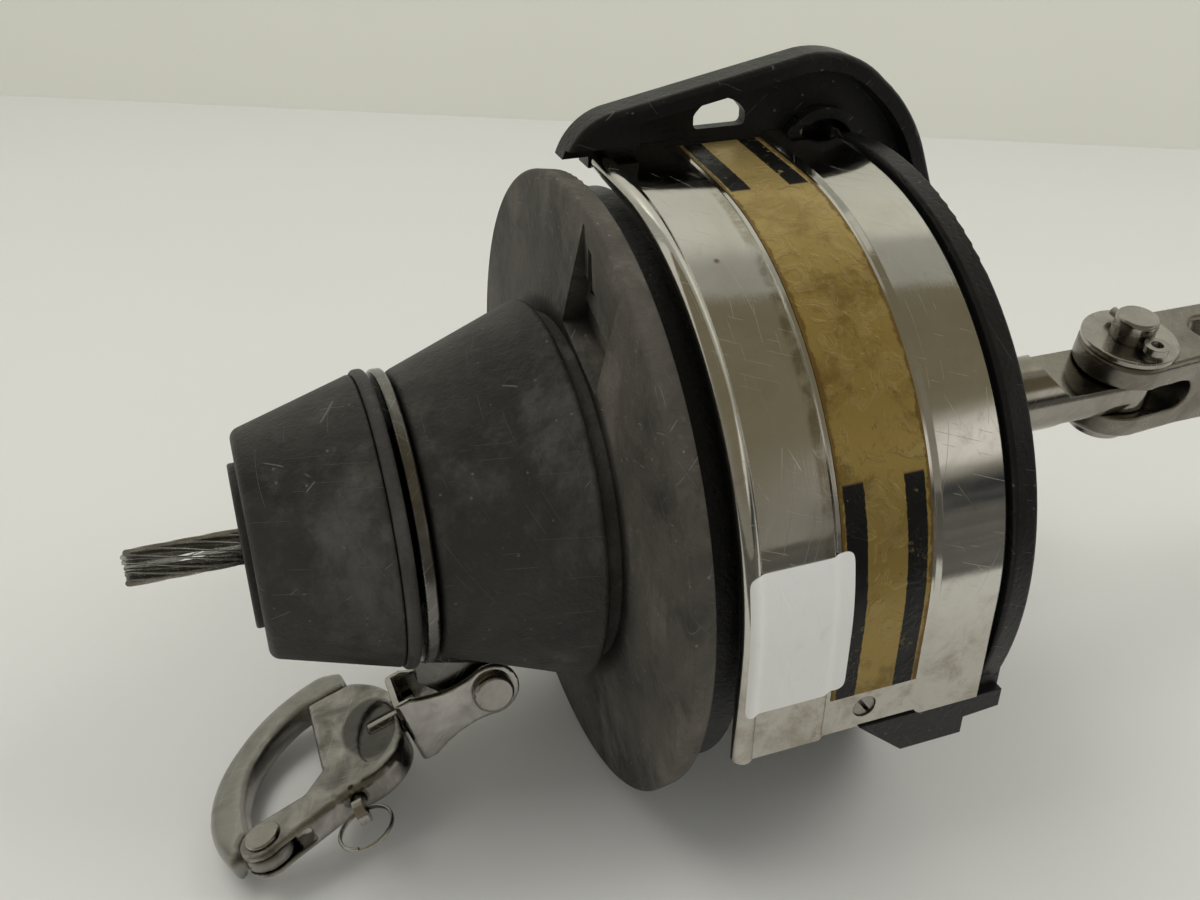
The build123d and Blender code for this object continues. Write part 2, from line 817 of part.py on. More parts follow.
with BuildPart() as line_fin:
    extrude(Plane.XZ.offset(-fin_far_y) * fin_outline.sketch, amount=fin_far_y - fin_near_y)
    for side in (0, -1):
        fin_face = line_fin.faces().sort_by(Axis.Y)[side]
        fillet(fin_face.edges().filter_by(lambda edge: edge.center().Z > cover_r + fin_tip_rise), fin_edge_round)
    recess_depth = fin_far_y - fin_near_y - fin_web_thick
    extrude(Plane.XZ.offset(-fin_near_y) * fin_recess.sketch, amount=-recess_depth, mode=Mode.SUBTRACT)
    # Ring shaped boss of which only the top stands above the cover
    with BuildSketch(Plane.XZ.offset(-fin_far_y)):
        with Locations((fin_boss_x, cover_r - fin_boss_drop)):
            Circle(fin_boss_r)
            Circle(fin_boss_r - fin_boss_wall, mode=Mode.SUBTRACT)
        with Locations((fin_boss_x, fin_low)):
            Rectangle(4 * fin_boss_r, 4 * fin_boss_r, align=(Align.CENTER, Align.MAX), mode=Mode.SUBTRACT)
    extrude(amount=fin_far_y - fin_near_y - fin_boss_step)
    # D shaped line slot through the web
    slot_left = guide_slot_x - guide_slot_width / 2
    slot_right = guide_slot_x + guide_slot_width / 2
    slot_low = cover_r + guide_slot_rise
    slot_shoulder = slot_low + guide_slot_height * 0.45
    with BuildSketch(Plane.XZ.offset(-fin_far_y - 1)):
        with BuildLine():
            Polyline((slot_left, slot_shoulder), (slot_left, slot_low), (slot_right, slot_low), (slot_right, slot_shoulder))
            ThreePointArc(
                (slot_right, slot_shoulder),
                (guide_slot_x, slot_low + guide_slot_height),
                (slot_left, slot_shoulder),
            )
        make_face()
        fillet(vertices(), 1.2)
    extrude(amount=fin_far_y - fin_near_y + 2, mode=Mode.SUBTRACT)
    # The near face stands off the cover, and only what lies behind it reaches down
    with BuildSketch(Plane.XZ.offset(-fin_near_y - fin_under_depth)):
        with Locations((fin_start - 1, cover_r + fin_under_rise)):
            Rectangle(cover_end - fin_start, 4 * fin_rim, align=(Align.MIN, Align.MAX))
    extrude(amount=2 * fin_under_depth, mode=Mode.SUBTRACT)

# Lower cage: end wall, rim with a flat foot, ribbed hub, line guide fin and cover arm
with BuildPart() as cage_rib:
    with BuildSketch(Plane.XZ.offset(-rib_thick / 2)):
        with BuildLine():
            Polyline(
                (cage_web_end - 1, stem_r + 2),
                (cage_web_end - 1, cage_r - rib_thick),
                (cage_rim_end, cage_r - rib_thick),
                (rib_top, cage_hub_r + 3),
                (cage_hub_end - 1, cage_hub_r),
                (cage_hub_end - 1, stem_r + 2),
                close=True,
            )
        make_face()
    extrude(amount=rib_thick)

with BuildPart() as cover_room:
    revolve(room_front, axis=turn_axis, revolution_arc=cover_bend)
    extrude(room_top, amount=-cover_reach - side_gap)
    with BuildSketch(front_plane):
        with Locations(((cover_start + cover_end) / 2, (channel_in + cover_r + 2) / 2)):
            Rectangle(cover_end - cover_start, cover_r + 2 - channel_in)
    extrude(amount=cover_drop)

with BuildPart() as lower_cage:
    with BuildSketch(Plane.XY):
        with BuildLine():
            Polyline(
                (cage_front, stem_r),
                (cage_front, cover_in),
                (cage_rim_start, cover_in),
                (cage_rim_start, cage_r),
                (cage_rim_end, cage_r),
                (cage_rim_end, cage_r - rib_thick),
                (cage_web_end, cage_r - rib_thick - 1),
                (cage_web_end, cage_hub_r),
                (cage_hub_end, cage_hub_r),
                (cage_hub_end, stem_r),
                close=True,
            )
        make_face()
    revolve(axis=Axis.X)
    rim_edges = lower_cage.edges().filter_by(GeomType.CIRCLE).sort_by(SortBy.RADIUS)[-2:]
    fillet(rim_edges, 0.8)
    # Flat foot under the rim
    with BuildSketch(Plane.YZ.offset(cage_rim_start)):
        with BuildLine():
            Polyline(
                (-foot_half_width, table_z),
                (foot_half_width, table_z),
                (foot_half_width - 3, -cage_r + 10),
                (-foot_half_width + 3, -cage_r + 10),
                close=True,
            )
        make_face()
    extrude(amount=cage_rim_end - cage_rim_start)
    with BuildSketch(Plane.XY.offset(table_z)):
        with Locations(((cage_rim_start + cage_rim_end) / 2, 0)):
            Rectangle(4 * rib_thick, 2 * cage_r)
    extrude(amount=-cage_r, mode=Mode.SUBTRACT)
    for turn in range(rib_count):
        add(cage_rib.part.rotate(Axis.X, 360 / rib_count * (turn + 0.5)))
    add(line_fin.part)
    # Arm that carries the lower end of the cover
    with BuildSketch(Plane.XZ.offset(channel_in - arm_thick)):
        with BuildLine():
            Polyline(
                (arm_start, -cover_drop + 1),
                (arm_start + 3, arm_top_z),
                (cage_rim_end, arm_top_z),
                (cage_rim_end, arm_foot_z + 5),
                (cage_front - 1.3, arm_foot_z + 4.4),
                (cage_front - 1.3, arm_foot_z),
                (arm_gusset_low, arm_foot_z),
                (arm_gusset_start, -cover_drop + 1),
                close=True,
            )
        make_face()
    extrude(amount=arm_thick)
    # Part of the arm that shows below the cover's edge
    with BuildSketch(Plane.XZ.offset(channel_in - 1)):
        with BuildLine():
            Polyline(
                (arm_gusset_start, -cover_drop - 0.1),
                (arm_gusset_low, arm_foot_z),
                (cage_front - 1.3, arm_foot_z),
                (cage_front - 1.3, arm_foot_z + 4.4),
                (cage_rim_end, arm_foot_z + 5),
                (cage_rim_end, -cover_drop - 0.1),
                close=True,
            )
        make_face()
    extrude(amount=cover_r - channel_in + 0.6)
    # Block that ties the arm to the end wall
    with BuildSketch(Plane.XZ.offset(channel_in - arm_root_depth)):
        with Locations(((cage_front + cage_rim_end) / 2, (arm_top_z + arm_foot_z + 5) / 2)):
            Rectangle(cage_rim_end - cage_front, arm_top_z - arm_foot_z - 5)
    extrude(amount=arm_root_depth)
    with BuildSketch(Plane.XZ.offset(channel_in)):
        with Locations((screw_x, screw_z)):
            Circle(screw_boss_dia / 2)
    extrude(amount=-screw_length + 2)
    with BuildSketch(Plane.XZ.offset(channel_in)):
        with Locations((screw_x, screw_z)):
            Circle(screw_dia / 2)
    extrude(amount=-screw_length, mode=Mode.SUBTRACT)
    # Room for the cover over its whole length, and for its screws
    add(cover_room.part, mode=Mode.SUBTRACT)
    with BuildSketch(seat_plane.offset(cover_r - 2)):
        with fin_screws:
            Circle(fin_screw_dia / 2)
    extrude(amount=2 + fin_screw_grip, mode=Mode.SUBTRACT)
save(lower_cage.part, "lower_cage")

# Screws of the cover: one set screw below, two pan heads under the fin
screw_face = Plane.XZ.offset(cover_r - channel_depth - side_gap)
with BuildPart() as cover_screws:
    with BuildSketch(screw_face):
        with Locations((screw_x, screw_z)):
            Circle(screw_dia / 2)
    extrude(amount=-screw_length + side_gap)
    with BuildSketch(screw_face):
        with Locations((screw_x, screw_z)):
            Rectangle(0.8, screw_dia + 1, rotation=35)
    extrude(amount=-1.2, mode=Mode.SUBTRACT)
    with BuildSketch(seat_plane.offset(cover_in)):
        with fin_screws:
            Circle(fin_screw_dia / 2)
    extrude(amount=cover_thick + fin_screw_grip - side_gap)
    with BuildSketch(seat_plane.offset(cover_in)):
        with fin_screws:
            Circle(fin_head_dia / 2)
    extrude(amount=-fin_head_height)
save(cover_screws.part, "cover_screws")

# Toggle: one fork on the stem's tongue, the other fork at a right angle for the deck fitting
eye_r = washer_dia / 2
ear_thick = (toggle_height - fork_gap) / 2
with BuildPart() as toggle:
    with BuildSketch(pin_plane.offset(-toggle_height / 2)):
        Circle(eye_r)
        with BuildLine():
            Polyline(
                (0, -eye_r),
                (fork_depth, -toggle_width / 2),
                (toggle_pitch, -toggle_width / 2),
                (toggle_pitch, toggle_width / 2),
                (fork_depth, toggle_width / 2),
                (0, eye_r),
                close=True,
            )
        make_face()
    extrude(amount=toggle_height)
    # The far end is rounded about the far pin, the near slot takes the tongue
    with BuildSketch(side_plane.offset(-toggle_width / 2)):
        with Locations((toggle_pitch, 0)):
            Circle(toggle_height / 2)
    extrude(amount=toggle_width)
    with BuildSketch(side_plane.offset(-toggle_width)):
        with Locations((-eye_r, 0)):
            Rectangle(2 * (fork_depth + eye_r - fork_gap / 2), fork_gap)
        with Locations((fork_depth - fork_gap / 2, 0)):
            Circle(fork_gap / 2)
    extrude(amount=2 * toggle_width, mode=Mode.SUBTRACT)
    far_crotch = fork_depth + 6.0
    with BuildSketch(pin_plane.offset(-toggle_height)):
        with Locations((far_crotch + toggle_pitch, 0)):
            Rectangle(2 * (toggle_pitch - fork_gap / 2), fork_gap)
        with Locations((far_crotch + fork_gap / 2, 0)):
            Circle(fork_gap / 2)
    extrude(amount=2 * toggle_height, mode=Mode.SUBTRACT)
    with BuildSketch(pin_plane.offset(-toggle_height)):
        Circle(toggle_pin_dia / 2)
    extrude(amount=2 * toggle_height, mode=Mode.SUBTRACT)
    with BuildSketch(side_plane.offset(-toggle_width)):
        with Locations((toggle_pitch, 0)):
            Circle(toggle_pin_dia / 2 + run_gap)
    extrude(amount=2 * toggle_width, mode=Mode.SUBTRACT)
    long_edges = toggle.edges().filter_by(Axis.X)
    chamfer(long_edges.filter_by(lambda edge: abs(edge.center().Z) > ear_thick), 1.2)
save(toggle.part, "toggle")

with BuildPart() as toggle_washer:
    with BuildSketch(pin_plane.offset(toggle_height / 2)):
        Circle(washer_dia / 2)
        Circle(toggle_pin_dia / 2, mode=Mode.SUBTRACT)
    extrude(amount=washer_thick)
    washer_rim = toggle_washer.edges().filter_by(GeomType.CIRCLE).sort_by(SortBy.RADIUS)[-2:]
    fillet(washer_rim, 0.5)
save(toggle_washer.part, "toggle_washer")

pin_top = toggle_height / 2 + washer_thick + pin_proud
cotter_z = toggle_height / 2 + washer_thick + cotter_dia
with BuildPart() as toggle_pin:
    with BuildSketch(pin_plane.offset(-toggle_height / 2)):
        Circle(toggle_pin_dia / 2)
    extrude(amount=pin_top + toggle_height / 2)
    with BuildSketch(pin_plane.offset(-toggle_height / 2 - pin_head_thick)):
        Circle(pin_head_dia / 2)
    extrude(amount=pin_head_thick)
    with BuildSketch(side_plane.offset(-toggle_width)):
        with Locations((0, cotter_z)):
            Circle(cotter_dia / 2)
    extrude(amount=2 * toggle_width, mode=Mode.SUBTRACT)
    top_rim = toggle_pin.edges().filter_by(GeomType.CIRCLE).sort_by(Axis((0, 0, 0), pin_axis))[-1]
    fillet(top_rim, 1.2)
save(toggle_pin.part, "toggle_pin")

# Cotter: a straight double leg through the pin, an eye on the near side, legs bent apart
cotter_plane = Plane(origin=pin_plane.offset(cotter_z).origin, x_dir=(1, 0, 0), z_dir=pin_axis)
leg_out = toggle_pin_dia / 2 + 3.0
eye_centre = -toggle_pin_dia / 2 - cotter_eye_r - 0.05
with BuildPart() as toggle_cotter:
    with BuildSketch(side_plane.offset(-leg_out)):
        with Locations((0, cotter_z)):
            Circle(cotter_dia / 2)
    extrude(amount=leg_out + toggle_pin_dia / 2 + 1.0)
    with BuildSketch(cotter_plane.offset(-cotter_dia * 0.4)):
        with Locations((0, eye_centre)):
            Circle(cotter_eye_r)
            Circle(cotter_eye_r / 2, mode=Mode.SUBTRACT)
    extrude(amount=cotter_dia * 0.8)
save(toggle_cotter.part, "toggle_cotter")

# Tack frame: rolled about X, so that its down direction leans toward the near side
tack_angle = radians(tack_roll)
tack_down = Vector(0, -sin(tack_angle), -cos(tack_angle))
tack_side = Vector(0, -cos(tack_angle), sin(tack_angle))
tack_side_plane = Plane(origin=(0, 0, 0), x_dir=(1, 0, 0), z_dir=tack_side)

# Bush that the tack ring turns on
with BuildPart() as tack_bush:
    with BuildSketch(Plane.YZ.offset(spacer_end)):
        Circle(tack_bush_r)
        Circle(tack_seat_r, mode=Mode.SUBTRACT)
    extrude(amount=big_cone_start - spacer_end)
save(tack_bush.part, "tack_bush")

# Tack ring with the lug that reaches back over the big cone
ring_far = tack_ring_start + tack_ring_thick
with BuildPart() as tack_ring:
    with BuildSketch(Plane.YZ.offset(tack_ring_start)):
        Circle(tack_ring_r)
    extrude(amount=tack_ring_thick)
    fillet(tack_ring.edges(), 0.7)
    # The plane's local Y runs against the down direction
    with BuildSketch(tack_side_plane.offset(-lug_thick / 2)):
        with BuildLine():
            Polyline(
                (tack_ring_start, -tack_bush_r - 4),
                (tack_ring_start, -tack_pin_drop + 5),
                (tack_pin_x - lug_boss_r + 1, -tack_pin_drop - lug_boss_r + 1.2),
                (tack_pin_x, -tack_pin_drop - lug_boss_r),
                (tack_pin_x, -tack_pin_drop + lug_boss_r),
                (ring_far, -tack_ring_r - 3.2),
                (ring_far, -tack_bush_r - 4),
                close=True,
            )
        make_face()
        with Locations((tack_pin_x, -tack_pin_drop)):
            Circle(lug_boss_r)
    extrude(amount=lug_thick)
    with BuildSketch(tack_side_plane.offset(-lug_thick)):
        with Locations((tack_pin_x, -tack_pin_drop)):
            Circle(tack_pin_dia / 2 + run_gap)
    extrude(amount=2 * lug_thick, mode=Mode.SUBTRACT)
    with BuildSketch(Plane.YZ.offset(tack_ring_start)):
        Circle(tack_bush_r + run_gap)
    extrude(amount=tack_ring_thick, mode=Mode.SUBTRACT)
save(tack_ring.part, "tack_ring")

# Jaw frame: u runs from the pin to the shackle, n is up, the third axis is the near side
slope = radians(jaw_slope)
jaw_u = Vector(-cos(slope), 0, 0) + tack_down * sin(slope)
jaw_n = Vector(-sin(slope), 0, 0) - tack_down * cos(slope)
pin_centre = Vector(tack_pin_x, 0, 0) + tack_down * tack_pin_drop
jaw_side = Plane(origin=pin_centre, x_dir=jaw_u, z_dir=tack_side)
jaw_end = Plane(origin=pin_centre, x_dir=tack_side, z_dir=jaw_u)
with BuildPart() as tack_jaw:
    with BuildSketch(jaw_side.offset(-jaw_width / 2)):
        Circle(jaw_boss_r)
        with BuildLine():
            Line((jaw_length, -jaw_height / 2), (jaw_length, jaw_height / 2))
            Line((jaw_length, jaw_height / 2), (jaw_length - 4, jaw_height / 2))
            ThreePointArc(
                (jaw_length - 4, jaw_height / 2),
                (jaw_length / 2, jaw_boss_r - 0.6),
                (2, jaw_boss_r - 0.4),
            )
            Line((2, jaw_boss_r - 0.4), (2, -jaw_boss_r + 0.4))
            ThreePointArc(
                (2, -jaw_boss_r + 0.4),
                (jaw_length / 2, -jaw_boss_r + 0.6),
                (jaw_length - 4, -jaw_height / 2),
            )
            Line((jaw_length - 4, -jaw_height / 2), (jaw_length, -jaw_height / 2))
        make_face()
    extrude(amount=jaw_width)
    with BuildSketch(jaw_end.offset(-jaw_boss_r - 1)):
        Rectangle(jaw_width - 2 * jaw_plate, 2 * jaw_height)
    extrude(amount=jaw_boss_r + 1 + jaw_length - jaw_plate, mode=Mode.SUBTRACT)
    with BuildSketch(jaw_side.offset(-jaw_width)):
        Circle(tack_pin_dia / 2)
    extrude(amount=2 * jaw_width, mode=Mode.SUBTRACT)
    with BuildSketch(jaw_end):
        Circle(stud_dia / 2 + run_gap)
    extrude(amount=2 * jaw_length, mode=Mode.SUBTRACT)
    wall_edges = tack_jaw.edges().filter_by(Axis((0, 0, 0), jaw_n)).group_by(Axis((0, 0, 0), jaw_u))[-1]
    fillet(wall_edges, 1.5)
save(tack_jaw.part, "tack_jaw")

with BuildPart() as tack_pin:
    with BuildSketch(jaw_side.offset(-jaw_width / 2 - 1.6)):
        Circle(tack_pin_dia / 2)
    extrude(amount=jaw_width + 1.6)
    with BuildSketch(jaw_side.offset(jaw_width / 2)):
        Circle(tack_pin_head_dia / 2)
    extrude(amount=tack_pin_head_thick)
    head_rim = tack_pin.edges().filter_by(GeomType.CIRCLE).sort_by(Axis((0, 0, 0), tack_side))[-1]
    fillet(head_rim, 0.9)
    with BuildSketch(jaw_side.offset(-jaw_width / 2 - 1.6)):
        Circle(tack_pin_dia / 2 + 0.9)
    extrude(amount=1.6)
save(tack_pin.part, "tack_pin")

# Swivel stud: head inside the jaw, shank in the shackle body
with BuildPart() as swivel_stud:
    with BuildSketch(jaw_end.offset(jaw_length - jaw_plate - side_gap)):
        Circle(stud_dia / 2)
    extrude(amount=jaw_plate + side_gap + stud_grip)
    with BuildSketch(jaw_end.offset(jaw_length - jaw_plate - side_gap - stud_head_thick)):
        Circle(stud_head_dia / 2)
    extrude(amount=stud_head_thick)
save(swivel_stud.part, "swivel_stud")

# Shackle frame: origin at the jaw's end wall, local X along u, local Y toward the near side
shackle_origin = pin_centre + jaw_u * jaw_length
shackle_plane = Plane(origin=shackle_origin, x_dir=jaw_u, z_dir=jaw_n)
long_plane = Plane(origin=shackle_origin, x_dir=jaw_u, z_dir=tack_side)
half_body = body_thick / 2
with BuildPart() as shackle_body:
    with BuildSketch(shackle_plane.offset(-half_body)):
        with BuildLine():
            Line((body_start, -body_neck), (body_start, body_neck))
            ThreePointArc(
                (body_start, body_neck),
                (plunger_u / 3, bar_near - 2),
                (plunger_u, bar_near),
            )
            Line((plunger_u, bar_near), (rivet_u, rivet_v + cheek_r))
            Line((rivet_u, rivet_v + cheek_r), (rivet_u, rivet_v - cheek_r))
            Polyline(
                (rivet_u, rivet_v - cheek_r),
                (bar_u + 5, bar_near - 7),
                (bar_u, bar_near - 12),
                (bar_u, -bar_far),
                (bar_u - 12, -bar_far),
            )
            ThreePointArc(
                (bar_u - 12, -bar_far),
                (plunger_u / 4, -bar_far * 0.75),
                (body_start, -body_neck),
            )
        make_face()
        with Locations((rivet_u, rivet_v)):
            Circle(cheek_r)
    extrude(amount=body_thick)
    chamfer(shackle_body.faces().sort_by(Axis((0, 0, 0), jaw_n))[-1].edges(), 0.8)
    chamfer(shackle_body.faces().sort_by(Axis((0, 0, 0), jaw_n))[0].edges(), 0.8)
    # Dished recess on both faces between the neck and the cross bar
    for side in (1, -1):
        with BuildSketch(shackle_plane.offset(side * half_body)):
            with Locations((plunger_u * 0.42, 3.4)):
                Ellipse(4.6, 10.5, rotation=-14)
        extrude(amount=-side * dish_depth, mode=Mode.SUBTRACT)
    # Fork slot for the bail's eye
    with BuildSketch(shackle_plane.offset(-bail_eye_thick / 2 - side_gap)):
        with Locations((rivet_u, rivet_v)):
            Circle(cheek_r + 4.4)
    extrude(amount=bail_eye_thick + 2 * side_gap, mode=Mode.SUBTRACT)
    with BuildSketch(shackle_plane.offset(-body_thick)):
        with Locations((rivet_u, rivet_v)):
            Circle(rivet_dia / 2)
    extrude(amount=2 * body_thick, mode=Mode.SUBTRACT)
    # Blind bore for the stud, then the plunger's stepped bore
    with BuildSketch(long_plane.offset(-bar_far - 1)):
        with Locations((plunger_u, 0)):
            Circle(plunger_dia / 2 + run_gap)
    extrude(amount=2 * bar_far + 2, mode=Mode.SUBTRACT)
    with BuildSketch(long_plane.offset(-spring_room / 2)):
        with Locations((plunger_u, 0)):
            Circle(plunger_bore_dia / 2)
    extrude(amount=spring_room, mode=Mode.SUBTRACT)
    with BuildSketch(jaw_end.offset(jaw_length)):
        Circle(stud_dia / 2)
    extrude(amount=stud_grip, mode=Mode.SUBTRACT)
save(shackle_body.part, "shackle_body")

# Rivet through the body's two cheeks and the bail's eye
rivet_plane = Plane(origin=shackle_plane.from_local_coords((rivet_u, rivet_v, 0)), x_dir=jaw_u, z_dir=jaw_n)
with BuildPart() as bail_rivet:
    with BuildSketch(rivet_plane.offset(-half_body)):
        Circle(rivet_dia / 2)
    extrude(amount=body_thick)
    for side in (1, -1):
        with BuildSketch(rivet_plane.offset(side * half_body)):
            Circle(rivet_head_dia / 2)
        extrude(amount=side * rivet_head_thick)
    fillet(bail_rivet.edges().sort_by(Axis((0, 0, 0), jaw_n))[-1], 0.5)
    fillet(bail_rivet.edges().sort_by(Axis((0, 0, 0), jaw_n))[0], 0.5)
save(bail_rivet.part, "bail_rivet")

# Bail: a curved bar from the rivet round the nose to the end of the cross bar
with BuildPart() as bail:
    with BuildSketch(shackle_plane.offset(-bail_thick / 2)):
        with BuildLine():
            ThreePointArc(
                (rivet_u + 8, rivet_v + 3),
                (bail_nose_u, bail_nose_v),
                (bail_bend_u, bail_bend_v),
            )
            ThreePointArc(
                (bail_bend_u, bail_bend_v),
                (bar_u + 7.6, bail_tip_v + 3.4),
                (plunger_u + 1.6, bail_tip_v),
            )
            Line((plunger_u + 1.6, bail_tip_v), (plunger_u - 4.4, bail_tip_v + 3.6))
            Line((plunger_u - 4.4, bail_tip_v + 3.6), (plunger_u - 4.4, -bar_far - side_gap))
            Line((plunger_u - 4.4, -bar_far - side_gap), (bar_u, -bar_far - side_gap))
            ThreePointArc(
                (bar_u, -bar_far - side_gap),
                (bail_bend_u - 7.6, bail_bend_v + bail_width / 2),
                (bail_nose_u - bail_width, bail_nose_v + 1),
            )
            Line((bail_nose_u - bail_width, bail_nose_v + 1), (rivet_u + 3.6, rivet_v - 4))
            Line((rivet_u + 3.6, rivet_v - 4), (rivet_u + 8, rivet_v + 3))
        make_face()
    extrude(amount=bail_thick)
    fillet(bail.edges().filter_by(lambda edge: edge.length > 14), bail_round)
    # The eye is thinner than the bar and sits in the body's fork
    with BuildSketch(shackle_plane.offset(-bail_thick)):
        with Locations((rivet_u, rivet_v)):
            Circle(cheek_r + side_gap)
    extrude(amount=2 * bail_thick, mode=Mode.SUBTRACT)
    with BuildSketch(shackle_plane.offset(-bail_eye_thick / 2)):
        with Locations((rivet_u, rivet_v)):
            Circle(cheek_r)
        with Locations((rivet_u + cheek_r, rivet_v - cheek_r / 3)):
            Rectangle(cheek_r * 0.8, cheek_r * 1.1, rotation=-18)
    extrude(amount=bail_eye_thick)
    with BuildSketch(shackle_plane.offset(-bail_thick)):
        with Locations((rivet_u, rivet_v)):
            Circle(rivet_dia / 2 + run_gap)
    extrude(amount=2 * bail_thick, mode=Mode.SUBTRACT)
    # Notch that the plunger's tip stands in, open toward the jaw
    with BuildSketch(long_plane.offset(-bar_far)):
        with Locations((plunger_u, 0)):
            Circle(plunger_dia / 2 + side_gap)
        with Locations((plunger_u - notch_reach / 2, 0)):
            Rectangle(notch_reach, plunger_dia + 2 * side_gap)
    extrude(amount=plunger_tip_v + bar_far - side_gap, mode=Mode.SUBTRACT)
save(bail.part, "bail")

# Plunger: tip in the bail, a collar for the spring and a knob outside the body
collar_v = -spring_room / 2 + 1.2
knob_plane = Plane(
    origin=shackle_plane.from_local_coords((plunger_u, knob_v, 0)),
    x_dir=jaw_n,
    z_dir=jaw_u,
)
with BuildPart() as plunger:
    with BuildSketch(long_plane.offset(plunger_tip_v)):
        with Locations((plunger_u, 0)):
            Circle(plunger_dia / 2)
    extrude(amount=knob_v - knob_r + 0.8 - plunger_tip_v)
    with BuildSketch(long_plane.offset(collar_v)):
        with Locations((plunger_u, 0)):
            Circle(plunger_collar_dia / 2)
    extrude(amount=1.2)
    # The knob is a flat eye, and its hole runs along u
    with BuildSketch(knob_plane.offset(-knob_thick / 2)):
        Circle(knob_r)
        Circle(ring_wire / 2 + side_gap, mode=Mode.SUBTRACT)
    extrude(amount=knob_thick)
save(plunger.part, "plunger")

# Plunger spring in its room
spring_start = collar_v + 1.2 + spring_wire / 2
spring_end = spring_room / 2 - spring_wire / 2
spring_r = (plunger_dia + plunger_bore_dia) / 4
spring_line = Helix(
    (spring_end - spring_start) / spring_turns,
    spring_end - spring_start,
    spring_r,
    center=long_plane.from_local_coords((plunger_u, 0, spring_start)),
    direction=tuple(tack_side),
)
with BuildPart() as plunger_spring:
    with BuildSketch(Plane(spring_line @ 0, z_dir=spring_line % 0)):
        Circle(spring_wire / 2)
    sweep(path=spring_line, is_frenet=True)
save(plunger_spring.part, "plunger_spring")

# Split ring through the knob
with BuildPart() as pull_ring:
    ring_centre = shackle_plane.from_local_coords((plunger_u, knob_v + ring_r, 0))
    ring_plane = Plane(origin=ring_centre, x_dir=jaw_u, z_dir=jaw_n)
    with BuildSketch(Plane(origin=ring_centre, x_dir=jaw_n, z_dir=jaw_u)):
        with Locations((0, ring_r)):
            Circle(ring_wire / 2)
    revolve(axis=Axis(ring_centre, jaw_n))
save(pull_ring.part, "pull_ring")
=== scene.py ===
import json
from math import atan2, cos, degrees, pi, radians, sin

import bpy
from mathutils import Matrix, Vector


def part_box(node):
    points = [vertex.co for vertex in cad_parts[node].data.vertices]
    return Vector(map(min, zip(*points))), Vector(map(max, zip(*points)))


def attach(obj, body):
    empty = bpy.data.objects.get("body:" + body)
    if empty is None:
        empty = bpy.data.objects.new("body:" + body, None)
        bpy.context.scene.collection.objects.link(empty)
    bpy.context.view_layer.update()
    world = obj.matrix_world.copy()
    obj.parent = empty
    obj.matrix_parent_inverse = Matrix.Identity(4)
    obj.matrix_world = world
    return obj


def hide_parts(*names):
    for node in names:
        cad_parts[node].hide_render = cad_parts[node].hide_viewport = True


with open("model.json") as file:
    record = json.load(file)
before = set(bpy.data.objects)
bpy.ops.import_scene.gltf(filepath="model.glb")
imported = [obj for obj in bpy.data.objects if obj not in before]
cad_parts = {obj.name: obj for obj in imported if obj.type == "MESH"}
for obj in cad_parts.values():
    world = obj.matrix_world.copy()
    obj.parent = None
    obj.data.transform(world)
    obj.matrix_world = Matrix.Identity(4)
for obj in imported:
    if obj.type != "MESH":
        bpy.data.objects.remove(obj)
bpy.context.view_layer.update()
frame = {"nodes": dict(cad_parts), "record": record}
nodes = frame["nodes"]
print("frame loaded with", len(nodes), "nodes")

mm = 0.001


def deselectAll():
    if bpy.context.object and bpy.context.object.mode != "OBJECT":
        bpy.ops.object.mode_set(mode="OBJECT")
    bpy.ops.object.select_all(action="DESELECT")


def makeActive(obj):
    deselectAll()
    obj.select_set(True)
    bpy.context.view_layer.objects.active = obj


def applyPlace(obj):
    makeActive(obj)
    bpy.ops.object.transform_apply(location=True, rotation=True, scale=True)


def applyAll(obj):
    makeActive(obj)
    for modifier in list(obj.modifiers):
        bpy.ops.object.modifier_apply(modifier=modifier.name)


def addModifier(obj, kind, **settings):
    modifier = obj.modifiers.new(kind.title(), kind)
    for name, value in settings.items():
        setattr(modifier, name, value)
    return modifier


def pickFaces(obj, test):  # selects faces by their middle, in edit mode
    bpy.ops.object.mode_set(mode="OBJECT")
    for item in list(obj.data.vertices) + list(obj.data.edges):
        item.select = False
    for face in obj.data.polygons:
        face.select = bool(test(face.center))
    bpy.ops.object.mode_set(mode="EDIT")
    bpy.ops.mesh.select_mode(type="FACE")


def pickVerts(obj, test):  # selects vertices by their place, in edit mode
    bpy.ops.object.mode_set(mode="EDIT")
    bpy.ops.mesh.select_mode(type="VERT")
    bpy.ops.mesh.select_all(action="DESELECT")
    bpy.ops.object.mode_set(mode="OBJECT")
    for vert in obj.data.vertices:
        vert.select = bool(test(vert.co))
    bpy.ops.object.mode_set(mode="EDIT")


def faceOutward(obj):
    makeActive(obj)
    bpy.ops.object.mode_set(mode="EDIT")
    bpy.ops.mesh.select_all(action="SELECT")
    bpy.ops.mesh.normals_make_consistent(inside=False)
    bpy.ops.object.mode_set(mode="OBJECT")


def sliceEvenly(obj, axis, span, parts):  # straight cuts at even steps, span in millimetres
    makeActive(obj)
    bpy.ops.object.mode_set(mode="EDIT")
    for cut in range(1, parts):
        bpy.ops.mesh.select_all(action="SELECT")
        place = (span[0] + (span[1] - span[0]) * cut / parts) * mm
        bpy.ops.mesh.bisect(plane_co=axis * place, plane_no=axis)
    bpy.ops.object.mode_set(mode="OBJECT")


def shadeSmooth(obj, angle):
    makeActive(obj)
    bpy.ops.object.shade_smooth_by_angle(angle=radians(angle))


def finishPiece(obj, name, body, material):
    obj.name = name
    obj.data.name = name
    obj.data.materials.clear()
    obj.data.materials.append(material)
    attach(obj, body)
    return obj


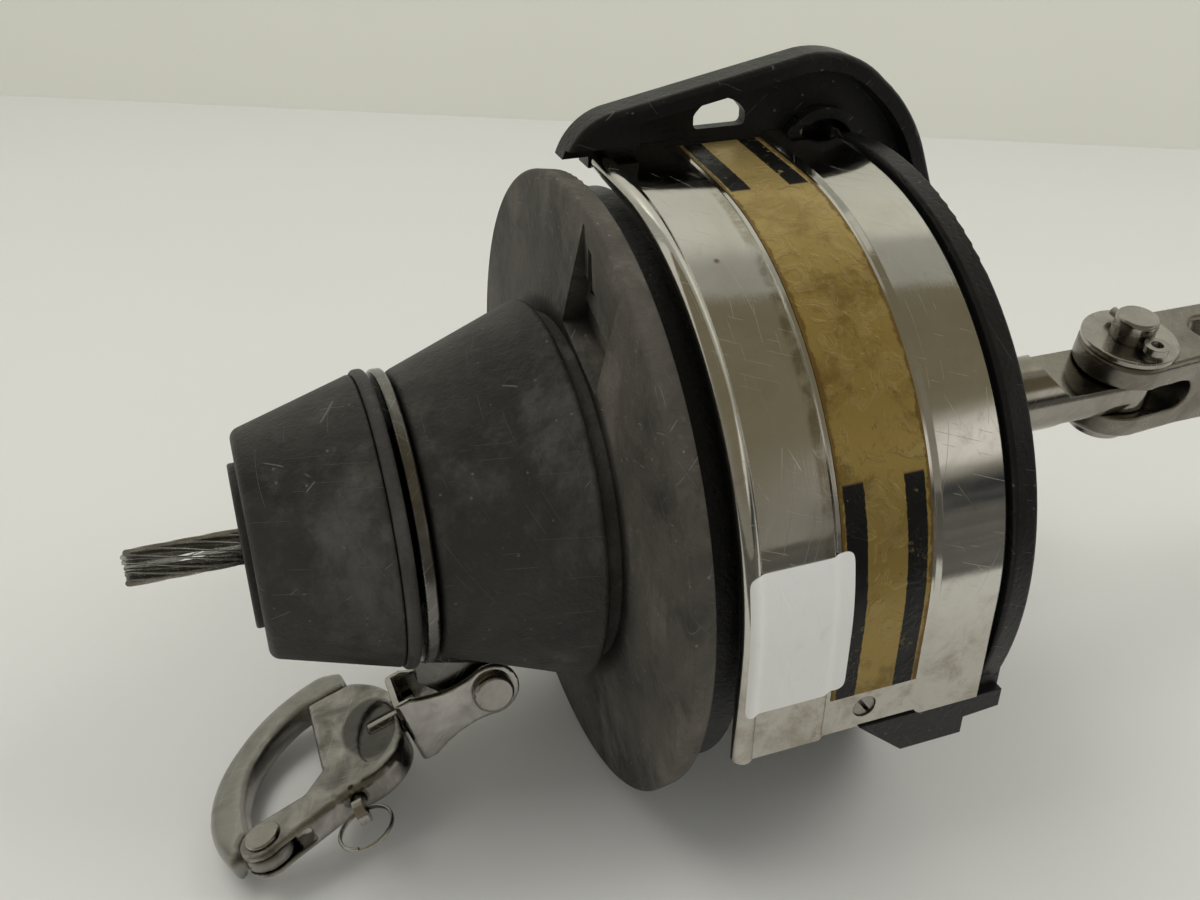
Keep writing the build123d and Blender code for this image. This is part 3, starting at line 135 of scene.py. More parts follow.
# Camera at the photograph's place
cameraView = {
    "place": (1.3, -222.0, 150.8),
    "right": (0.9406, -0.3395, 0.0),
    "up": (0.1764, 0.4888, 0.8544),
    "lens": 36.0,
    "sensor": 36.0,
    "near": 5.0,
}
bpy.ops.object.camera_add()
camera = bpy.context.object
camera.name = "photoCamera"
camera.data.lens = cameraView["lens"]
camera.data.sensor_width = cameraView["sensor"]
camera.data.clip_start = cameraView["near"] * mm
right = Vector(cameraView["right"]).normalized()
up = Vector(cameraView["up"]).normalized()
back = right.cross(up)
turn = Matrix((right, up, back)).transposed().to_4x4()
camera.matrix_world = Matrix.Translation(Vector(cameraView["place"]) * mm) @ turn
bpy.context.scene.camera = camera


# Shader maths: a Sock wraps one output, and sums on it add the nodes
class Sock:
    def __init__(self, shader, out):
        self.shader = shader
        self.out = out

    def calc(self, operation, *values, clamp=False):
        inputs = {i: value for i, value in enumerate(values)}
        return self.shader.node("ShaderNodeMath", {"operation": operation, "use_clamp": clamp}, inputs)

    def __add__(self, other):
        return self.calc("ADD", self, other)

    def __radd__(self, other):
        return self.calc("ADD", other, self)

    def __sub__(self, other):
        return self.calc("SUBTRACT", self, other)

    def __rsub__(self, other):
        return self.calc("SUBTRACT", other, self)

    def __mul__(self, other):
        return self.calc("MULTIPLY", self, other)

    def __truediv__(self, other):
        return self.calc("DIVIDE", self, other)

    def __rtruediv__(self, other):
        return self.calc("DIVIDE", other, self)

    def __pow__(self, other):
        return self.calc("POWER", self, other)

    def __neg__(self):
        return self.calc("MULTIPLY", self, -1.0)

    def __abs__(self):
        return self.calc("ABSOLUTE", self)

    def clamped(self):
        return self.calc("ADD", self, 0.0, clamp=True)


class Shader:
    def __init__(self, name):
        self.material = bpy.data.materials.new(name)
        self.material.use_nodes = True
        self.tree = self.material.node_tree
        self.surface = self.tree.nodes["Principled BSDF"]
        self.place = self.node("ShaderNodeTexCoord", {}, {}, "Object")

    def node(self, kind, settings, inputs, output=0):
        made = self.tree.nodes.new(kind)
        for name, value in settings.items():
            setattr(made, name, value)
        for name, value in inputs.items():
            self.feed(made.inputs[name], value)
        return Sock(self, made.outputs[output])

    def feed(self, socket, value):
        if isinstance(value, Sock):
            self.tree.links.new(value.out, socket)
        elif isinstance(value, tuple) and len(value) == 3 and socket.type == "RGBA":
            socket.default_value = (*value, 1.0)
        else:
            socket.default_value = value

    def axes(self):  # object coordinates as three values in millimetres
        scaled = self.node("ShaderNodeVectorMath", {"operation": "SCALE"}, {0: self.place, "Scale": 1.0 / mm})
        return tuple(self.node("ShaderNodeSeparateXYZ", {}, {0: scaled}, i) for i in range(3))

    def vector(self, x, y, z):
        return self.node("ShaderNodeCombineXYZ", {}, {0: x, 1: y, 2: z})

    def mapped(self, place, scale=(1, 1, 1), turn=(0, 0, 0), move=(0, 0, 0)):
        values = {"Vector": place, "Scale": scale, "Rotation": turn, "Location": move}
        return self.node("ShaderNodeMapping", {}, values)

    def noise(self, place, scale, detail=4.0, rough=0.55, bend=0.0):
        values = {"Vector": place, "Scale": scale, "Detail": detail, "Roughness": rough, "Distortion": bend}
        return self.node("ShaderNodeTexNoise", {}, values)

    def cells(self, place, scale):
        return self.node("ShaderNodeTexVoronoi", {}, {"Vector": place, "Scale": scale})

    def fade(self, value, low, high):  # smooth step from 0 at low to 1 at high
        values = {"Value": value, "From Min": low, "From Max": high}
        return self.node("ShaderNodeMapRange", {"interpolation_type": "SMOOTHSTEP"}, values)

    def blend(self, mask, first, second):
        return self.node("ShaderNodeMix", {"data_type": "RGBA"}, {0: mask, 6: first, 7: second}, 2)

    def layered(self, color, *layers):  # each layer: where it lies, and its colour
        for mask, shade in layers:
            color = self.blend(mask, color, shade)
        return color

    def bump(self, height, distance, strength=1.0, normal=None):
        values = {"Height": height, "Distance": distance, "Strength": strength}
        if normal:
            values["Normal"] = normal
        return self.node("ShaderNodeBump", {}, values)

    def scratches(self, slope, pitch, width, length, rarity):  # straight lines, broken into strokes
        x, y, z = self.axes()
        bend = (self.noise(self.place, 30.0, 1.0) - 0.5) * pitch * 0.5
        along = (x * slope[0] + y * slope[1] + z * slope[2] + bend) / pitch
        row = along.calc("FLOOR", along)
        middle = self.node("ShaderNodeTexWhiteNoise", {"noise_dimensions": "1D"}, {"W": row}) * 0.8 + 0.1
        line = 1.0 - self.fade(abs(along - row - middle), width / pitch * 0.35, width / pitch)
        moved = self.vector(x + row * 37.7, y + row * 11.3, z - row * 23.9)
        strokes = self.noise(moved, 1.0 / length, 1.0, 0.4)
        return line * self.fade(strokes, rarity, rarity + 0.05)

    def scratched(self, rows, rarity=0.0):  # several sets; a row's last number adds to the rarity
        total = None
        for slope, pitch, width, length, rarer in rows:
            strokes = self.scratches(slope, pitch, width, length, rarity + rarer)
            total = total + strokes if total else strokes
        return total.clamped()

    def along(self, origin, axis):  # millimetres from a place along a direction
        place = self.node("ShaderNodeVectorMath", {"operation": "SUBTRACT"}, {0: self.place, 1: tuple(origin)})
        reach = self.node("ShaderNodeVectorMath", {"operation": "DOT_PRODUCT"}, {0: place, 1: tuple(axis)}, 1)
        return reach * (1.0 / mm)

    def around(self):  # angle about the spin axis: 0 in front, rising to the top
        x, y, z = self.axes()
        return self.node("ShaderNodeMath", {"operation": "ARCTAN2"}, {0: z, 1: -y})

    def crease(self, reach):  # painted shade mask: 1 in narrow gaps and corners, where shade falls, 0 in the open
        openness = self.node("ShaderNodeAmbientOcclusion", {"samples": 4}, {"Distance": reach * mm}, "AO")
        return self.fade(openness, 0.75, 0.30)

    def rounded(self, radius):
        return self.node("ShaderNodeBevel", {"samples": 4}, {"Radius": radius * mm})

    def finish(self, **values):
        for name, value in values.items():
            self.feed(self.surface.inputs[name.replace("_", " ")], value)
        return self.material


# Worn black plastic of the cones, the drum and the cage
plasticScale = {
    "cloud": 26.0, "smear": 48.0, "patch": 75.0, "specks": 260.0, "dust": 330.0, "softGrain": 340.0,
    "pits": 700.0, "grain": 900.0,
}
plasticScratches = (  # slope, then pitch, width and length in millimetres, then how much rarer
    ((0.25, 0.8, 0.55), 2.3, 0.05, 9.0, 0.0),
    ((0.75, -0.3, 0.6), 3.1, 0.06, 13.0, 0.0),
    ((0.5, 0.65, -0.6), 4.7, 0.10, 7.0, 0.03),
    ((-0.6, 0.2, 0.75), 7.9, 0.16, 5.0, 0.05),
)


def wornPlastic(name, look):
    s = Shader(name)
    cloud = s.noise(s.place, plasticScale["cloud"], 5.0, 0.6)
    grain = s.noise(s.place, plasticScale["grain"], 5.0, 0.65, 0.4)
    grain = grain + s.noise(s.place, plasticScale["softGrain"], 3.0, 0.5) * 0.8
    patch = s.fade(s.noise(s.place, plasticScale["patch"], 6.0, 0.66, 0.7), 0.42, 0.66)
    pits = s.cells(s.place, plasticScale["pits"])
    fine = s.scratched(plasticScratches, look["scuff"])
    stretched = s.mapped(s.place, (1, 1, 0.5), move=(0.3, 0.1, 0.7))
    smear = s.fade(s.noise(stretched, plasticScale["smear"], 7.0, 0.70), 0.48, 0.74)
    dust = s.fade(s.noise(s.place, plasticScale["dust"], 6.0, 0.78), 0.55, 0.78)
    specks = 1.0 - s.fade(s.cells(s.place, plasticScale["specks"]), 0.05, 0.10)
    color = s.layered(
        look["dark"],
        (s.fade(cloud, 0.32, 0.68), look["light"]),
        (patch * 0.8, look["light"]),
        (smear * look["smear"], look["dusty"]),
        (dust * look["dust"], look["dusty"]),
        (specks * look["specks"], look["scratch"]),
        (fine * look["marks"], look["scratch"]),
        # painted shade: ambient occlusion darkens gaps and corners toward the gap colour
        (s.crease(look["crease"]) * 0.8, look["gap"]),
    )
    rough = look["rough"] + (cloud - 0.5) * 0.22 + fine * 0.1 + smear * 0.10 + dust * 0.06
    if "skirt" in look:  # glossy black wall behind the disc
        x, y, z = s.axes()
        behind = s.fade(x, look["skirt"], look["skirt"] + 0.3)
        color = s.blend(behind, color, look["skirtColor"])
        rough = rough - behind * 0.30
    height = grain * look["grain"] + s.fade(pits, 0.0, 0.5) * 0.25 - fine * 0.9
    edge = s.rounded(look["edge"]) if look["edge"] else None
    return s.finish(
        Base_Color=color,
        Roughness=rough.clamped(),
        Normal=s.bump(height, look["depth"] * mm, look["bump"], edge),
        Specular_IOR_Level=look["gloss"],
    )


# Stainless: polished, satin or cast, with hairlines and smudges
steelScale = {"wave": 105.0, "stain": 150.0, "polish": 260.0, "cast": 520.0}
steelScratches = (
    ((0.5, 0.7, -0.5), 1.9, 0.035, 6.0, 0.50),
    ((-0.7, 0.3, 0.65), 2.7, 0.04, 9.0, 0.50),
)


def stainless(name, look):
    s = Shader(name)
    smudge = s.noise(s.place, look["smudgeScale"], 5.0, 0.62, 0.6)
    hair = s.scratched(steelScratches)
    polish = s.noise(s.mapped(s.place, look["grainStretch"]), steelScale["polish"], 4.0, 0.7)
    cast = s.noise(s.place, steelScale["cast"], 4.0, 0.6)
    wave = s.noise(s.place, steelScale["wave"], 2.0, 0.5)
    stain = s.fade(s.noise(s.place, steelScale["stain"], 6.0, 0.72, 0.6), 0.54, 0.76)
    color = s.layered(
        look["light"],
        (s.fade(smudge, 0.3, 0.75), look["dark"]),
        (stain * look["stain"], look["stained"]),
        (hair * 0.35, look["hair"]),
        # painted shade, also standing for grime: ambient occlusion darkens creases toward a dark tone
        (s.crease(look["crease"]) * look["creaseShadeAndGrime"], look["creaseShadeGrimeColor"]),
    )
    rough = look["rough"] + (smudge - 0.5) * look["smudge"] + hair * 0.12 + stain * 0.14
    rough = rough + (polish - 0.5) * look["grain"]
    height = polish * look["grain"] + cast * look["cast"] - hair * 0.25 + wave * look["wave"]
    if "recess" in look:  # painted shade darkening the hollow, its two dark tones mixed by the stain mask, and a raised crossbar on the shackle's face
        recess = look["recess"]
        u, v = (s.along(recess["origin"], recess[axis]) for axis in ("u", "v"))
        (middleU, middleV), (halfU, halfV) = recess["middle"], recess["halves"]
        hollow = ((u - middleU) / halfU) ** 2.0 + ((v - middleV) / halfV) ** 2.0 + (smudge - 0.5) * 0.5
        inside = s.fade(hollow, 1.15, 0.75)
        start, rise, fall, end = recess["bar"]
        bar = s.fade(u, start, rise) * s.fade(u, end, fall)
        # painted shade: the hollow darkened toward two dark tones chosen by the stain mask
        color = s.blend(inside * 0.9, color, s.blend(stain, *recess["colors"]))
        rough = rough + inside * 0.12
        height = height - inside * 6.0 + bar * 9.0
    return s.finish(
        Base_Color=color,
        Metallic=1.0,
        Roughness=rough.clamped(),
        Normal=s.bump(height, look["depth"] * mm, look["bump"], s.rounded(look["edge"])),
    )


plasticLook = {
    "dark": (0.0100, 0.0095, 0.0084), "light": (0.030, 0.028, 0.0235), "dusty": (0.125, 0.121, 0.110),
    "scratch": (0.20, 0.195, 0.185), "scuff": 0.60, "marks": 0.45, "smear": 0.52, "dust": 0.28,
    "specks": 0.35, "rough": 0.50, "grain": 1.5, "bump": 0.9, "edge": 0.0, "gloss": 0.32, "crease": 3.0,
    "gap": (0.005, 0.005, 0.005), "depth": 0.22,
}
conePlastic = wornPlastic("wornConePlastic", plasticLook)
drumPlastic = wornPlastic("wornDrumPlastic", {
    **plasticLook, "dark": (0.026, 0.0235, 0.020), "light": (0.082, 0.074, 0.062),
    "dusty": (0.235, 0.213, 0.178), "smear": 0.50, "dust": 0.36, "scuff": 0.57, "marks": 0.5, "specks": 0.6,
    "rough": 0.66, "gloss": 0.28, "crease": 7.0, "skirt": 79.0, "skirtColor": (0.003, 0.003, 0.0032),
})
cagePlastic = wornPlastic("blackCagePlastic", {
    **plasticLook, "dark": (0.0038, 0.0036, 0.0038), "light": (0.0080, 0.0077, 0.0080),
    "dusty": (0.050, 0.047, 0.042), "smear": 0.14, "dust": 0.10, "scuff": 0.63, "marks": 0.35,
    "rough": 0.36, "grain": 0.5, "edge": 0.3, "gloss": 0.32,
})
ringPlastic = wornPlastic("greyBushPlastic", {
    **plasticLook, "dark": (0.024, 0.0235, 0.022), "light": (0.040, 0.038, 0.035), "marks": 0.3,
})
steelLook = {
    "light": (0.56, 0.54, 0.50), "dark": (0.43, 0.41, 0.37), "hair": (0.74, 0.72, 0.68), "rough": 0.13,
    "smudgeScale": 60.0, "smudge": 0.16, "grainStretch": (1, 1, 1), "grain": 0.02, "cast": 0.1,
    "bump": 0.25, "stain": 0.4, "edge": 0.35, "wave": 0.0, "creaseShadeAndGrime": 0.75, "crease": 2.0, "depth": 0.06,
    "stained": (0.20, 0.165, 0.115), "creaseShadeGrimeColor": (0.03, 0.026, 0.022),
}
castSteel = stainless("castStainless", {
    **steelLook, "light": (0.50, 0.48, 0.455), "dark": (0.32, 0.305, 0.285), "cast": 0.35, "bump": 0.6,
    "wave": 14.0, "rough": 0.12, "smudgeScale": 90.0,
})
swivel = next(joint for joint in frame["record"]["behaviour"]["joints"] if joint["name"] == "shackle_swivel")
shackleSteel = stainless("shackleStainless", {
    **steelLook, "light": (0.40, 0.38, 0.355), "dark": (0.13, 0.122, 0.113), "cast": 0.35, "bump": 0.6,
    "wave": 26.0, "rough": 0.12, "smudgeScale": 110.0, "edge": 1.1,
    "recess": {
        "origin": swivel["pos_m"], "u": swivel["axis"], "v": (0.0, -0.98769, 0.15643),
        "middle": (7.5, 1.0), "halves": (7.0, 11.0), "bar": (14.5, 16.0, 18.5, 20.0),
        # dark tones of the painted shade in the hollow
        "colors": ((0.075, 0.071, 0.066), (0.035, 0.033, 0.031)),
    },
})
bailSteel = stainless("bailStainless", {
    **steelLook, "light": (0.36, 0.345, 0.322), "dark": (0.22, 0.21, 0.195), "cast": 0.2, "bump": 0.5,
    "wave": 11.0, "rough": 0.08, "edge": 2.6, "stain": 0.25,
})
# painted shade: the tack ring gets darker steel than the other parts, standing for the shade in the groove
# between the cones
shadedCollarSteel = stainless("tackRingStainless", {
    **steelLook, "light": (0.24, 0.23, 0.215), "dark": (0.10, 0.095, 0.088), "rough": 0.22, "cast": 0.3,
    "bump": 0.4,
})
toggleSteel = stainless("satinToggleStainless", {
    **steelLook, "light": (0.29, 0.27, 0.235), "dark": (0.17, 0.156, 0.132), "rough": 0.28, "cast": 0.5,
    "bump": 0.5,
})
pinSteel = stainless("turnedStainless", {
    **steelLook, "light": (0.44, 0.42, 0.385), "dark": (0.28, 0.265, 0.24), "rough": 0.20,
    "grainStretch": (6, 1, 1), "grain": 0.10,
})
barSteel = stainless("stemStainless", {
    **steelLook, "light": (0.36, 0.34, 0.305), "dark": (0.25, 0.232, 0.198), "grainStretch": (8, 1, 1),
    "grain": 0.08,
})
screwSteel = stainless("screwStainless", {
    **steelLook, "light": (0.36, 0.34, 0.31), "dark": (0.20, 0.19, 0.17), "rough": 0.32, "edge": 0.2,
})
raceSteel = stainless("bearingSteel", {
    **steelLook, "light": (0.22, 0.21, 0.195), "dark": (0.05, 0.048, 0.044), "rough": 0.2, "creaseShadeAndGrime": 0.95,
})
wireSteel = stainless("wireStainless", {
    **steelLook, "light": (0.56, 0.55, 0.53), "dark": (0.34, 0.335, 0.32), "rough": 0.28,
    "smudgeScale": 300.0, "edge": 0.1, "stain": 0.1, "creaseShadeAndGrime": 0.25,
})


# Rubber of the lip seal
rubberLook = {
    "dark": (0.014, 0.014, 0.014), "light": (0.03, 0.03, 0.03), "cloud": 90.0, "grain": 900.0, "depth": 0.1,
}


def sealRubber():
    s = Shader("sealRubber")
    cloud = s.noise(s.place, rubberLook["cloud"])
    grain = s.noise(s.place, rubberLook["grain"])
    return s.finish(
        Base_Color=s.blend(s.fade(cloud, 0.35, 0.7), rubberLook["dark"], rubberLook["light"]),
        Roughness=0.55 + cloud * 0.2,
        Normal=s.bump(grain, rubberLook["depth"] * mm, 0.3),
    )


rubber = sealRubber()


# Polished cover: drawing lines run round the band, with dents, hairlines, smudges and a rust dot
coverLook = {
    "radius": 0.07, "drawn": 420.0, "lines": 1500.0, "smudge": 34.0, "stain": 130.0, "ripple": 26.0,
    "dents": 60.0, "light": (0.62, 0.605, 0.565), "smudged": (0.53, 0.51, 0.46),
    "stained": (0.34, 0.31, 0.25), "lowShadeAndStain": (0.30, 0.27, 0.215), "lowStart": 6.0, "lowEnd": -14.0,
    "edgeStained": (0.22, 0.18, 0.10), "edgeRise": (100.4, 101.6), "edgeFall": (104.2, 103.2),
    "hair": (0.78, 0.76, 0.72), "rust": (0.16, 0.075, 0.03), "dot": (0.0937, -0.0307, 0.0641),
    "dotFade": (0.0003, 0.0009), "depth": 0.08, "edge": 0.25,
}
coverScratches = (
    ((0.35, 0.3, 0.85), 2.1, 0.035, 8.0, 0.54),
    ((0.8, 0.35, -0.4), 2.9, 0.04, 11.0, 0.53),
    ((0.6, -0.5, 0.6), 4.3, 0.05, 6.0, 0.55),
)


def coverSteel():
    s = Shader("polishedCoverSteel")
    x, y, z = s.axes()
    unrolled = s.vector(x * mm, s.around() * coverLook["radius"], 0.0)
    drawn = s.noise(s.mapped(unrolled, (9, 0.35, 1)), coverLook["drawn"], 4.0, 0.7)
    lines = s.noise(s.mapped(unrolled, (1.0, 0.03, 1)), coverLook["lines"], 3.0, 0.7)
    ripple = s.noise(unrolled, coverLook["ripple"], 2.0, 0.5)
    dents = s.noise(s.mapped(unrolled, (0.7, 2.4, 1)), coverLook["dents"], 2.0, 0.5)
    smudge = s.noise(s.place, coverLook["smudge"], 6.0, 0.66, 0.8)
    stain = s.noise(s.mapped(s.place, turn=(0.3, 0.2, 0.8)), coverLook["stain"], 6.0, 0.7, 0.5)
    hair = s.scratched(coverScratches)
    edge = s.fade(x, *coverLook["edgeFall"]) * s.fade(x, *coverLook["edgeRise"])
    low = s.fade(z, coverLook["lowStart"], coverLook["lowEnd"])
    toDot = s.node("ShaderNodeVectorMath", {"operation": "DISTANCE"}, {0: s.place, 1: coverLook["dot"]}, 1)
    rust = 1.0 - s.fade(toDot, *coverLook["dotFade"])
    color = s.layered(
        coverLook["light"],
        (s.fade(smudge, 0.35, 0.72), coverLook["smudged"]),
        (s.fade(stain, 0.56, 0.78) * 0.40, coverLook["stained"]),
        # painted shade: darker and browner towards the band's lower side, stronger where the stain noise is
        # high
        (low * (0.35 + s.fade(stain, 0.42, 0.66) * 0.5), coverLook["lowShadeAndStain"]),
        (edge * s.fade(stain, 0.40, 0.6) * 0.6, coverLook["edgeStained"]),
        (hair * 0.22, coverLook["hair"]),
        (rust * 0.8, coverLook["rust"]),
    )
    rough = 0.075 + s.fade(smudge, 0.35, 0.8) * 0.08 + s.fade(stain, 0.55, 0.8) * 0.12 + hair * 0.10
    height = drawn * 0.08 + lines * 0.10 + stain * 0.08 - hair * 0.16 + ripple * 2.2 + dents * 0.8
    return s.finish(
        Base_Color=color,
        Metallic=1.0,
        Roughness=rough.clamped(),
        Normal=s.bump(height, coverLook["depth"] * mm, 0.6, s.rounded(coverLook["edge"])),
    )


coverBandSteel = coverSteel()

nodeFinish = {
    conePlastic: ("small_cone", "big_cone"),
    drumPlastic: ("drum_flange", "drum_core", "drum_lower_flange"),
    cagePlastic: ("lower_cage", "bearing_hub"),
    ringPlastic: ("front_bush", "spacer_ring", "tack_bush"),
    castSteel: ("shackle_body", "bail", "tack_jaw", "terminal_body"),
    shadedCollarSteel: ("tack_ring",),
    toggleSteel: ("toggle",),
    pinSteel: ("toggle_pin", "toggle_washer", "tack_pin", "swivel_stud", "bail_rivet", "plunger", "pull_ring",
               "toggle_cotter", "wire_terminal", "stem_nut", "bearing_spacer", "lower_spacer"),
    barSteel: ("stem",),
    screwSteel: ("cover_screws", "drum_screws", "stem_circlip", "plunger_spring"),
    raceSteel: ("upper_bearing_outer_race", "upper_bearing_inner_race", "upper_bearing_balls",
                "lower_bearing_outer_race", "lower_bearing_inner_race", "lower_bearing_balls"),
    wireSteel: ("stay_wire",),
    rubber: ("lip_seal",),
    coverBandSteel: ("cover_band",),
}
for material, names in nodeFinish.items():
    for name in names:
        for place in nodes[name].material_slots:
            place.material = material
print("materials on the frame's nodes")

# Stay wire: 1 x 19 strands, each a circle carried round the axis by the Screw modifier
wire = {"strand": 0.80, "sides": 12, "start": -23.2, "end": 5.0, "twist": 118.0, "steps": 26, "smooth": 50}
wireRings = (  # strands, ring radius, first strand's angle, and how far each strand's end is cut back
    (1, 0.0001, 0.0, (0.1,)),
    (6, 1.6, 0.0, (0.0, 0.12, 0.24)),
    (12, 3.2, 8.0, (0.0, 0.15, 0.30, 0.45)),
)


def wireStrand(ringRadius, turnAngle, cutBack):
    deselectAll()
    bpy.ops.mesh.primitive_circle_add(
        vertices=wire["sides"], radius=wire["strand"] * mm, fill_type="NOTHING",
        location=(0, 0, ringRadius * mm), rotation=(radians(90), 0, 0),
    )
    strand = bpy.context.object
    applyPlace(strand)
    addModifier(
        strand, "SCREW", axis="X", angle=radians(wire["twist"]),
        screw_offset=(wire["end"] - wire["start"] - cutBack) * mm,
        steps=wire["steps"], render_steps=wire["steps"], use_merge_vertices=False,
    )
    applyAll(strand)
    strand.location = ((wire["start"] + cutBack) * mm, 0, 0)
    strand.rotation_euler = (radians(turnAngle), 0, 0)
    applyPlace(strand)
    bpy.ops.object.mode_set(mode="EDIT")
    bpy.ops.mesh.select_all(action="DESELECT")
    bpy.ops.mesh.select_non_manifold()
    bpy.ops.mesh.edge_face_add()
    faceOutward(strand)
    return strand


strands = [
    wireStrand(radius, 360.0 / count * i + first, cuts[i % len(cuts)])
    for count, radius, first, cuts in wireRings for i in range(count)
]
deselectAll()
for strand in strands:
    strand.select_set(True)
bpy.context.view_layer.objects.active = strands[0]
bpy.ops.object.join()
wirePiece = finishPiece(bpy.context.object, "wireStrands", "drum", wireSteel)
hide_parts("stay_wire")
shadeSmooth(wirePiece, wire["smooth"])
print("stay wire")

# Gold label in the cover's channel: a bare foil with black stripes, worn, bubbled and glued at its edges
label = {
    "x": (105.0, 124.6), "radius": 69.95, "bend": 85.5, "reach": 20.5, "low": -16.2, "thick": 0.10,
    "sides": 720, "slices": 24, "smooth": 40,
    "stripeLow": 25.8, "stripeTop": 81.4, "leftStripe": (105.9, 110.4), "rightStripe": (119.0, 123.4),
    "stripeSoft": 0.12, "endSoft": 0.3, "sheen": (52.0, 92.0), "glueSoft": (0.3, 0.8),
}
labelScale = {"glue": 75.0, "bubbles": 170.0, "gap": 260.0, "worn": 420.0, "grain": 620.0, "ragged": 900.0}
labelColor = {
    "gold": (0.290, 0.205, 0.060), "glued": (0.185, 0.122, 0.031), "bubbleHighlight": (0.33, 0.255, 0.105),
    "worn": (0.10, 0.075, 0.035), "sheen": (0.43, 0.32, 0.125), "glue": (0.115, 0.062, 0.016),
    "stripe": (0.0045, 0.0045, 0.0042),
}


def labelFoil():
    s = Shader("goldLabelFoil")
    x, y, z = s.axes()
    angle = s.around() * degrees(1.0)
    ragged = (s.noise(s.place, labelScale["ragged"], 3.0) - 0.5) * 0.5
    bubbles = s.fade(s.noise(s.place, labelScale["bubbles"], 4.0, 0.6, 1.2), 0.5, 0.62)
    worn = s.fade(s.noise(s.place, labelScale["worn"], 6.0, 0.75), 0.60, 0.68)
    glue = s.fade(s.noise(s.place, labelScale["glue"], 5.0, 0.7), 0.48, 0.66)

    def past(value, edge, soft):
        return s.fade(value, edge - soft, edge + soft)

    def stripe(low, high):
        soft = label["stripeSoft"]
        return past(x + ragged, low, soft) * (1.0 - past(x + ragged, high, soft))

    lowPart = 1.0 - past(angle, label["stripeLow"], label["endSoft"])
    topPart = past(angle, label["stripeTop"], label["endSoft"])
    stripes = stripe(*label["leftStripe"]) + stripe(*label["rightStripe"])
    stripes = (stripes * (lowPart + topPart)).clamped() * (1.0 - worn * 0.5)
    gap = (s.noise(s.place, labelScale["gap"], 4.0, 0.7) - 0.45) * 3.2
    start, end = label["glueSoft"]
    first, last = label["x"]
    inner = s.fade(x - gap, first + start, first + end) * s.fade(x + gap, last - start, last - end)
    color = s.layered(
        labelColor["gold"],
        (glue, labelColor["glued"]),
        # painted highlight: the foil lighter on its bubbles
        (bubbles * 0.35, labelColor["bubbleHighlight"]),
        (worn * 0.5, labelColor["worn"]),
        # painted sheen: the foil lighter and brighter gold towards the top of the channel
        (s.fade(angle, *label["sheen"]) * 0.8, labelColor["sheen"]),
        ((1.0 - inner) * 0.75, labelColor["glue"]),
        (stripes, labelColor["stripe"]),
    )
    height = bubbles * 0.9 + glue * 0.4 - worn * 0.3 + s.noise(s.place, labelScale["grain"], 3.0) * 0.35
    return s.finish(
        Base_Color=color,
        Metallic=(0.55 - stripes * 0.55).clamped(),
        Roughness=(0.30 + glue * 0.18 + worn * 0.2).clamped(),
        Specular_IOR_Level=0.2,
        Coat_Weight=0.08,
        Coat_Roughness=0.2,
        Normal=s.bump(height, 0.00016, 0.7),
    )


def onBand(angle, reach=0.0):  # a place in the channel: angle from the front, then straight along the upper end
    turn = radians(angle)
    radius = label["radius"]
    near = -cos(turn) * radius + sin(turn) * reach
    height = sin(turn) * radius + cos(turn) * reach
    return Vector((0, near, height)) * mm


deselectAll()
labelWidth = label["x"][1] - label["x"][0]
bpy.ops.mesh.primitive_cylinder_add(
    vertices=label["sides"], radius=label["radius"] * mm, depth=labelWidth * mm, end_fill_type="NOTHING",
    location=(sum(label["x"]) / 2 * mm, 0, 0), rotation=(0, radians(90), 0),
)
foil = bpy.context.object
applyPlace(foil)
pickFaces(foil, lambda at: not (0.0 <= degrees(-atan2(-at.z, -at.y)) <= label["bend"]))
bpy.ops.mesh.delete(type="FACE")
bpy.ops.object.mode_set(mode="OBJECT")
labelEnds = (
    (onBand(0.0), Vector((0, 0, label["low"] * mm))),
    (onBand(label["bend"]), onBand(label["bend"], label["reach"]) - onBand(label["bend"])),
)
for end, move in labelEnds:
    pickVerts(foil, lambda at: (Vector((0, at.y, at.z)) - end).length < 0.2 * mm)
    bpy.ops.mesh.extrude_region_move(TRANSFORM_OT_translate={"value": move})
    bpy.ops.object.mode_set(mode="OBJECT")
sliceEvenly(foil, Vector((1, 0, 0)), label["x"], label["slices"])
addModifier(foil, "SOLIDIFY", thickness=label["thick"] * mm, offset=1.0)
applyAll(foil)
faceOutward(foil)
finishPiece(foil, "labelFoil", "frame", labelFoil())
shadeSmooth(foil, label["smooth"])
print("label foil")

# Plain white sticker: an even grid with rounded corners, pressed on the cover by Shrinkwrap
sticker = {
    "x": (84.9, 107.8), "z": (-13.4, 18.9), "corner": 2.2, "cornerSteps": 6, "lift": 0.16, "thick": 0.09,
    "away": -80, "slicesX": 46, "slicesZ": 60, "softer": 6, "smooth": 60, "white": (0.74, 0.735, 0.715),
    "dirty": (0.60, 0.58, 0.54), "edge": (0.50, 0.48, 0.44), "edgeFade": (0.2, 3.0), "depth": 0.3,
}
stickerScale = {"dirt": 160.0, "crease": 210.0, "fiber": 1500.0}


def stickerPaper():
    s = Shader("stickerPaper")
    x, y, z = s.axes()
    folded = s.mapped(s.place, (1.0, 1.0, 0.45), turn=(0.1, 0.3, 0))
    crease = s.noise(folded, stickerScale["crease"], 3.0, 0.5, 0.8)
    fiber = s.noise(s.place, stickerScale["fiber"], 4.0, 0.7)
    dirt = s.fade(s.noise(s.place, stickerScale["dirt"], 6.0, 0.72), 0.55, 0.8)
    edge = 1.0 - s.fade(x, *(sticker["x"][0] + value for value in sticker["edgeFade"]))
    return s.finish(
        Base_Color=s.layered(sticker["white"], (dirt * 0.45, sticker["dirty"]), (edge * 0.25, sticker["edge"])),
        Roughness=(0.55 + fiber * 0.15).clamped(),
        Normal=s.bump(crease * 1.6 + fiber * 0.10, sticker["depth"] * mm, 0.55),
    )


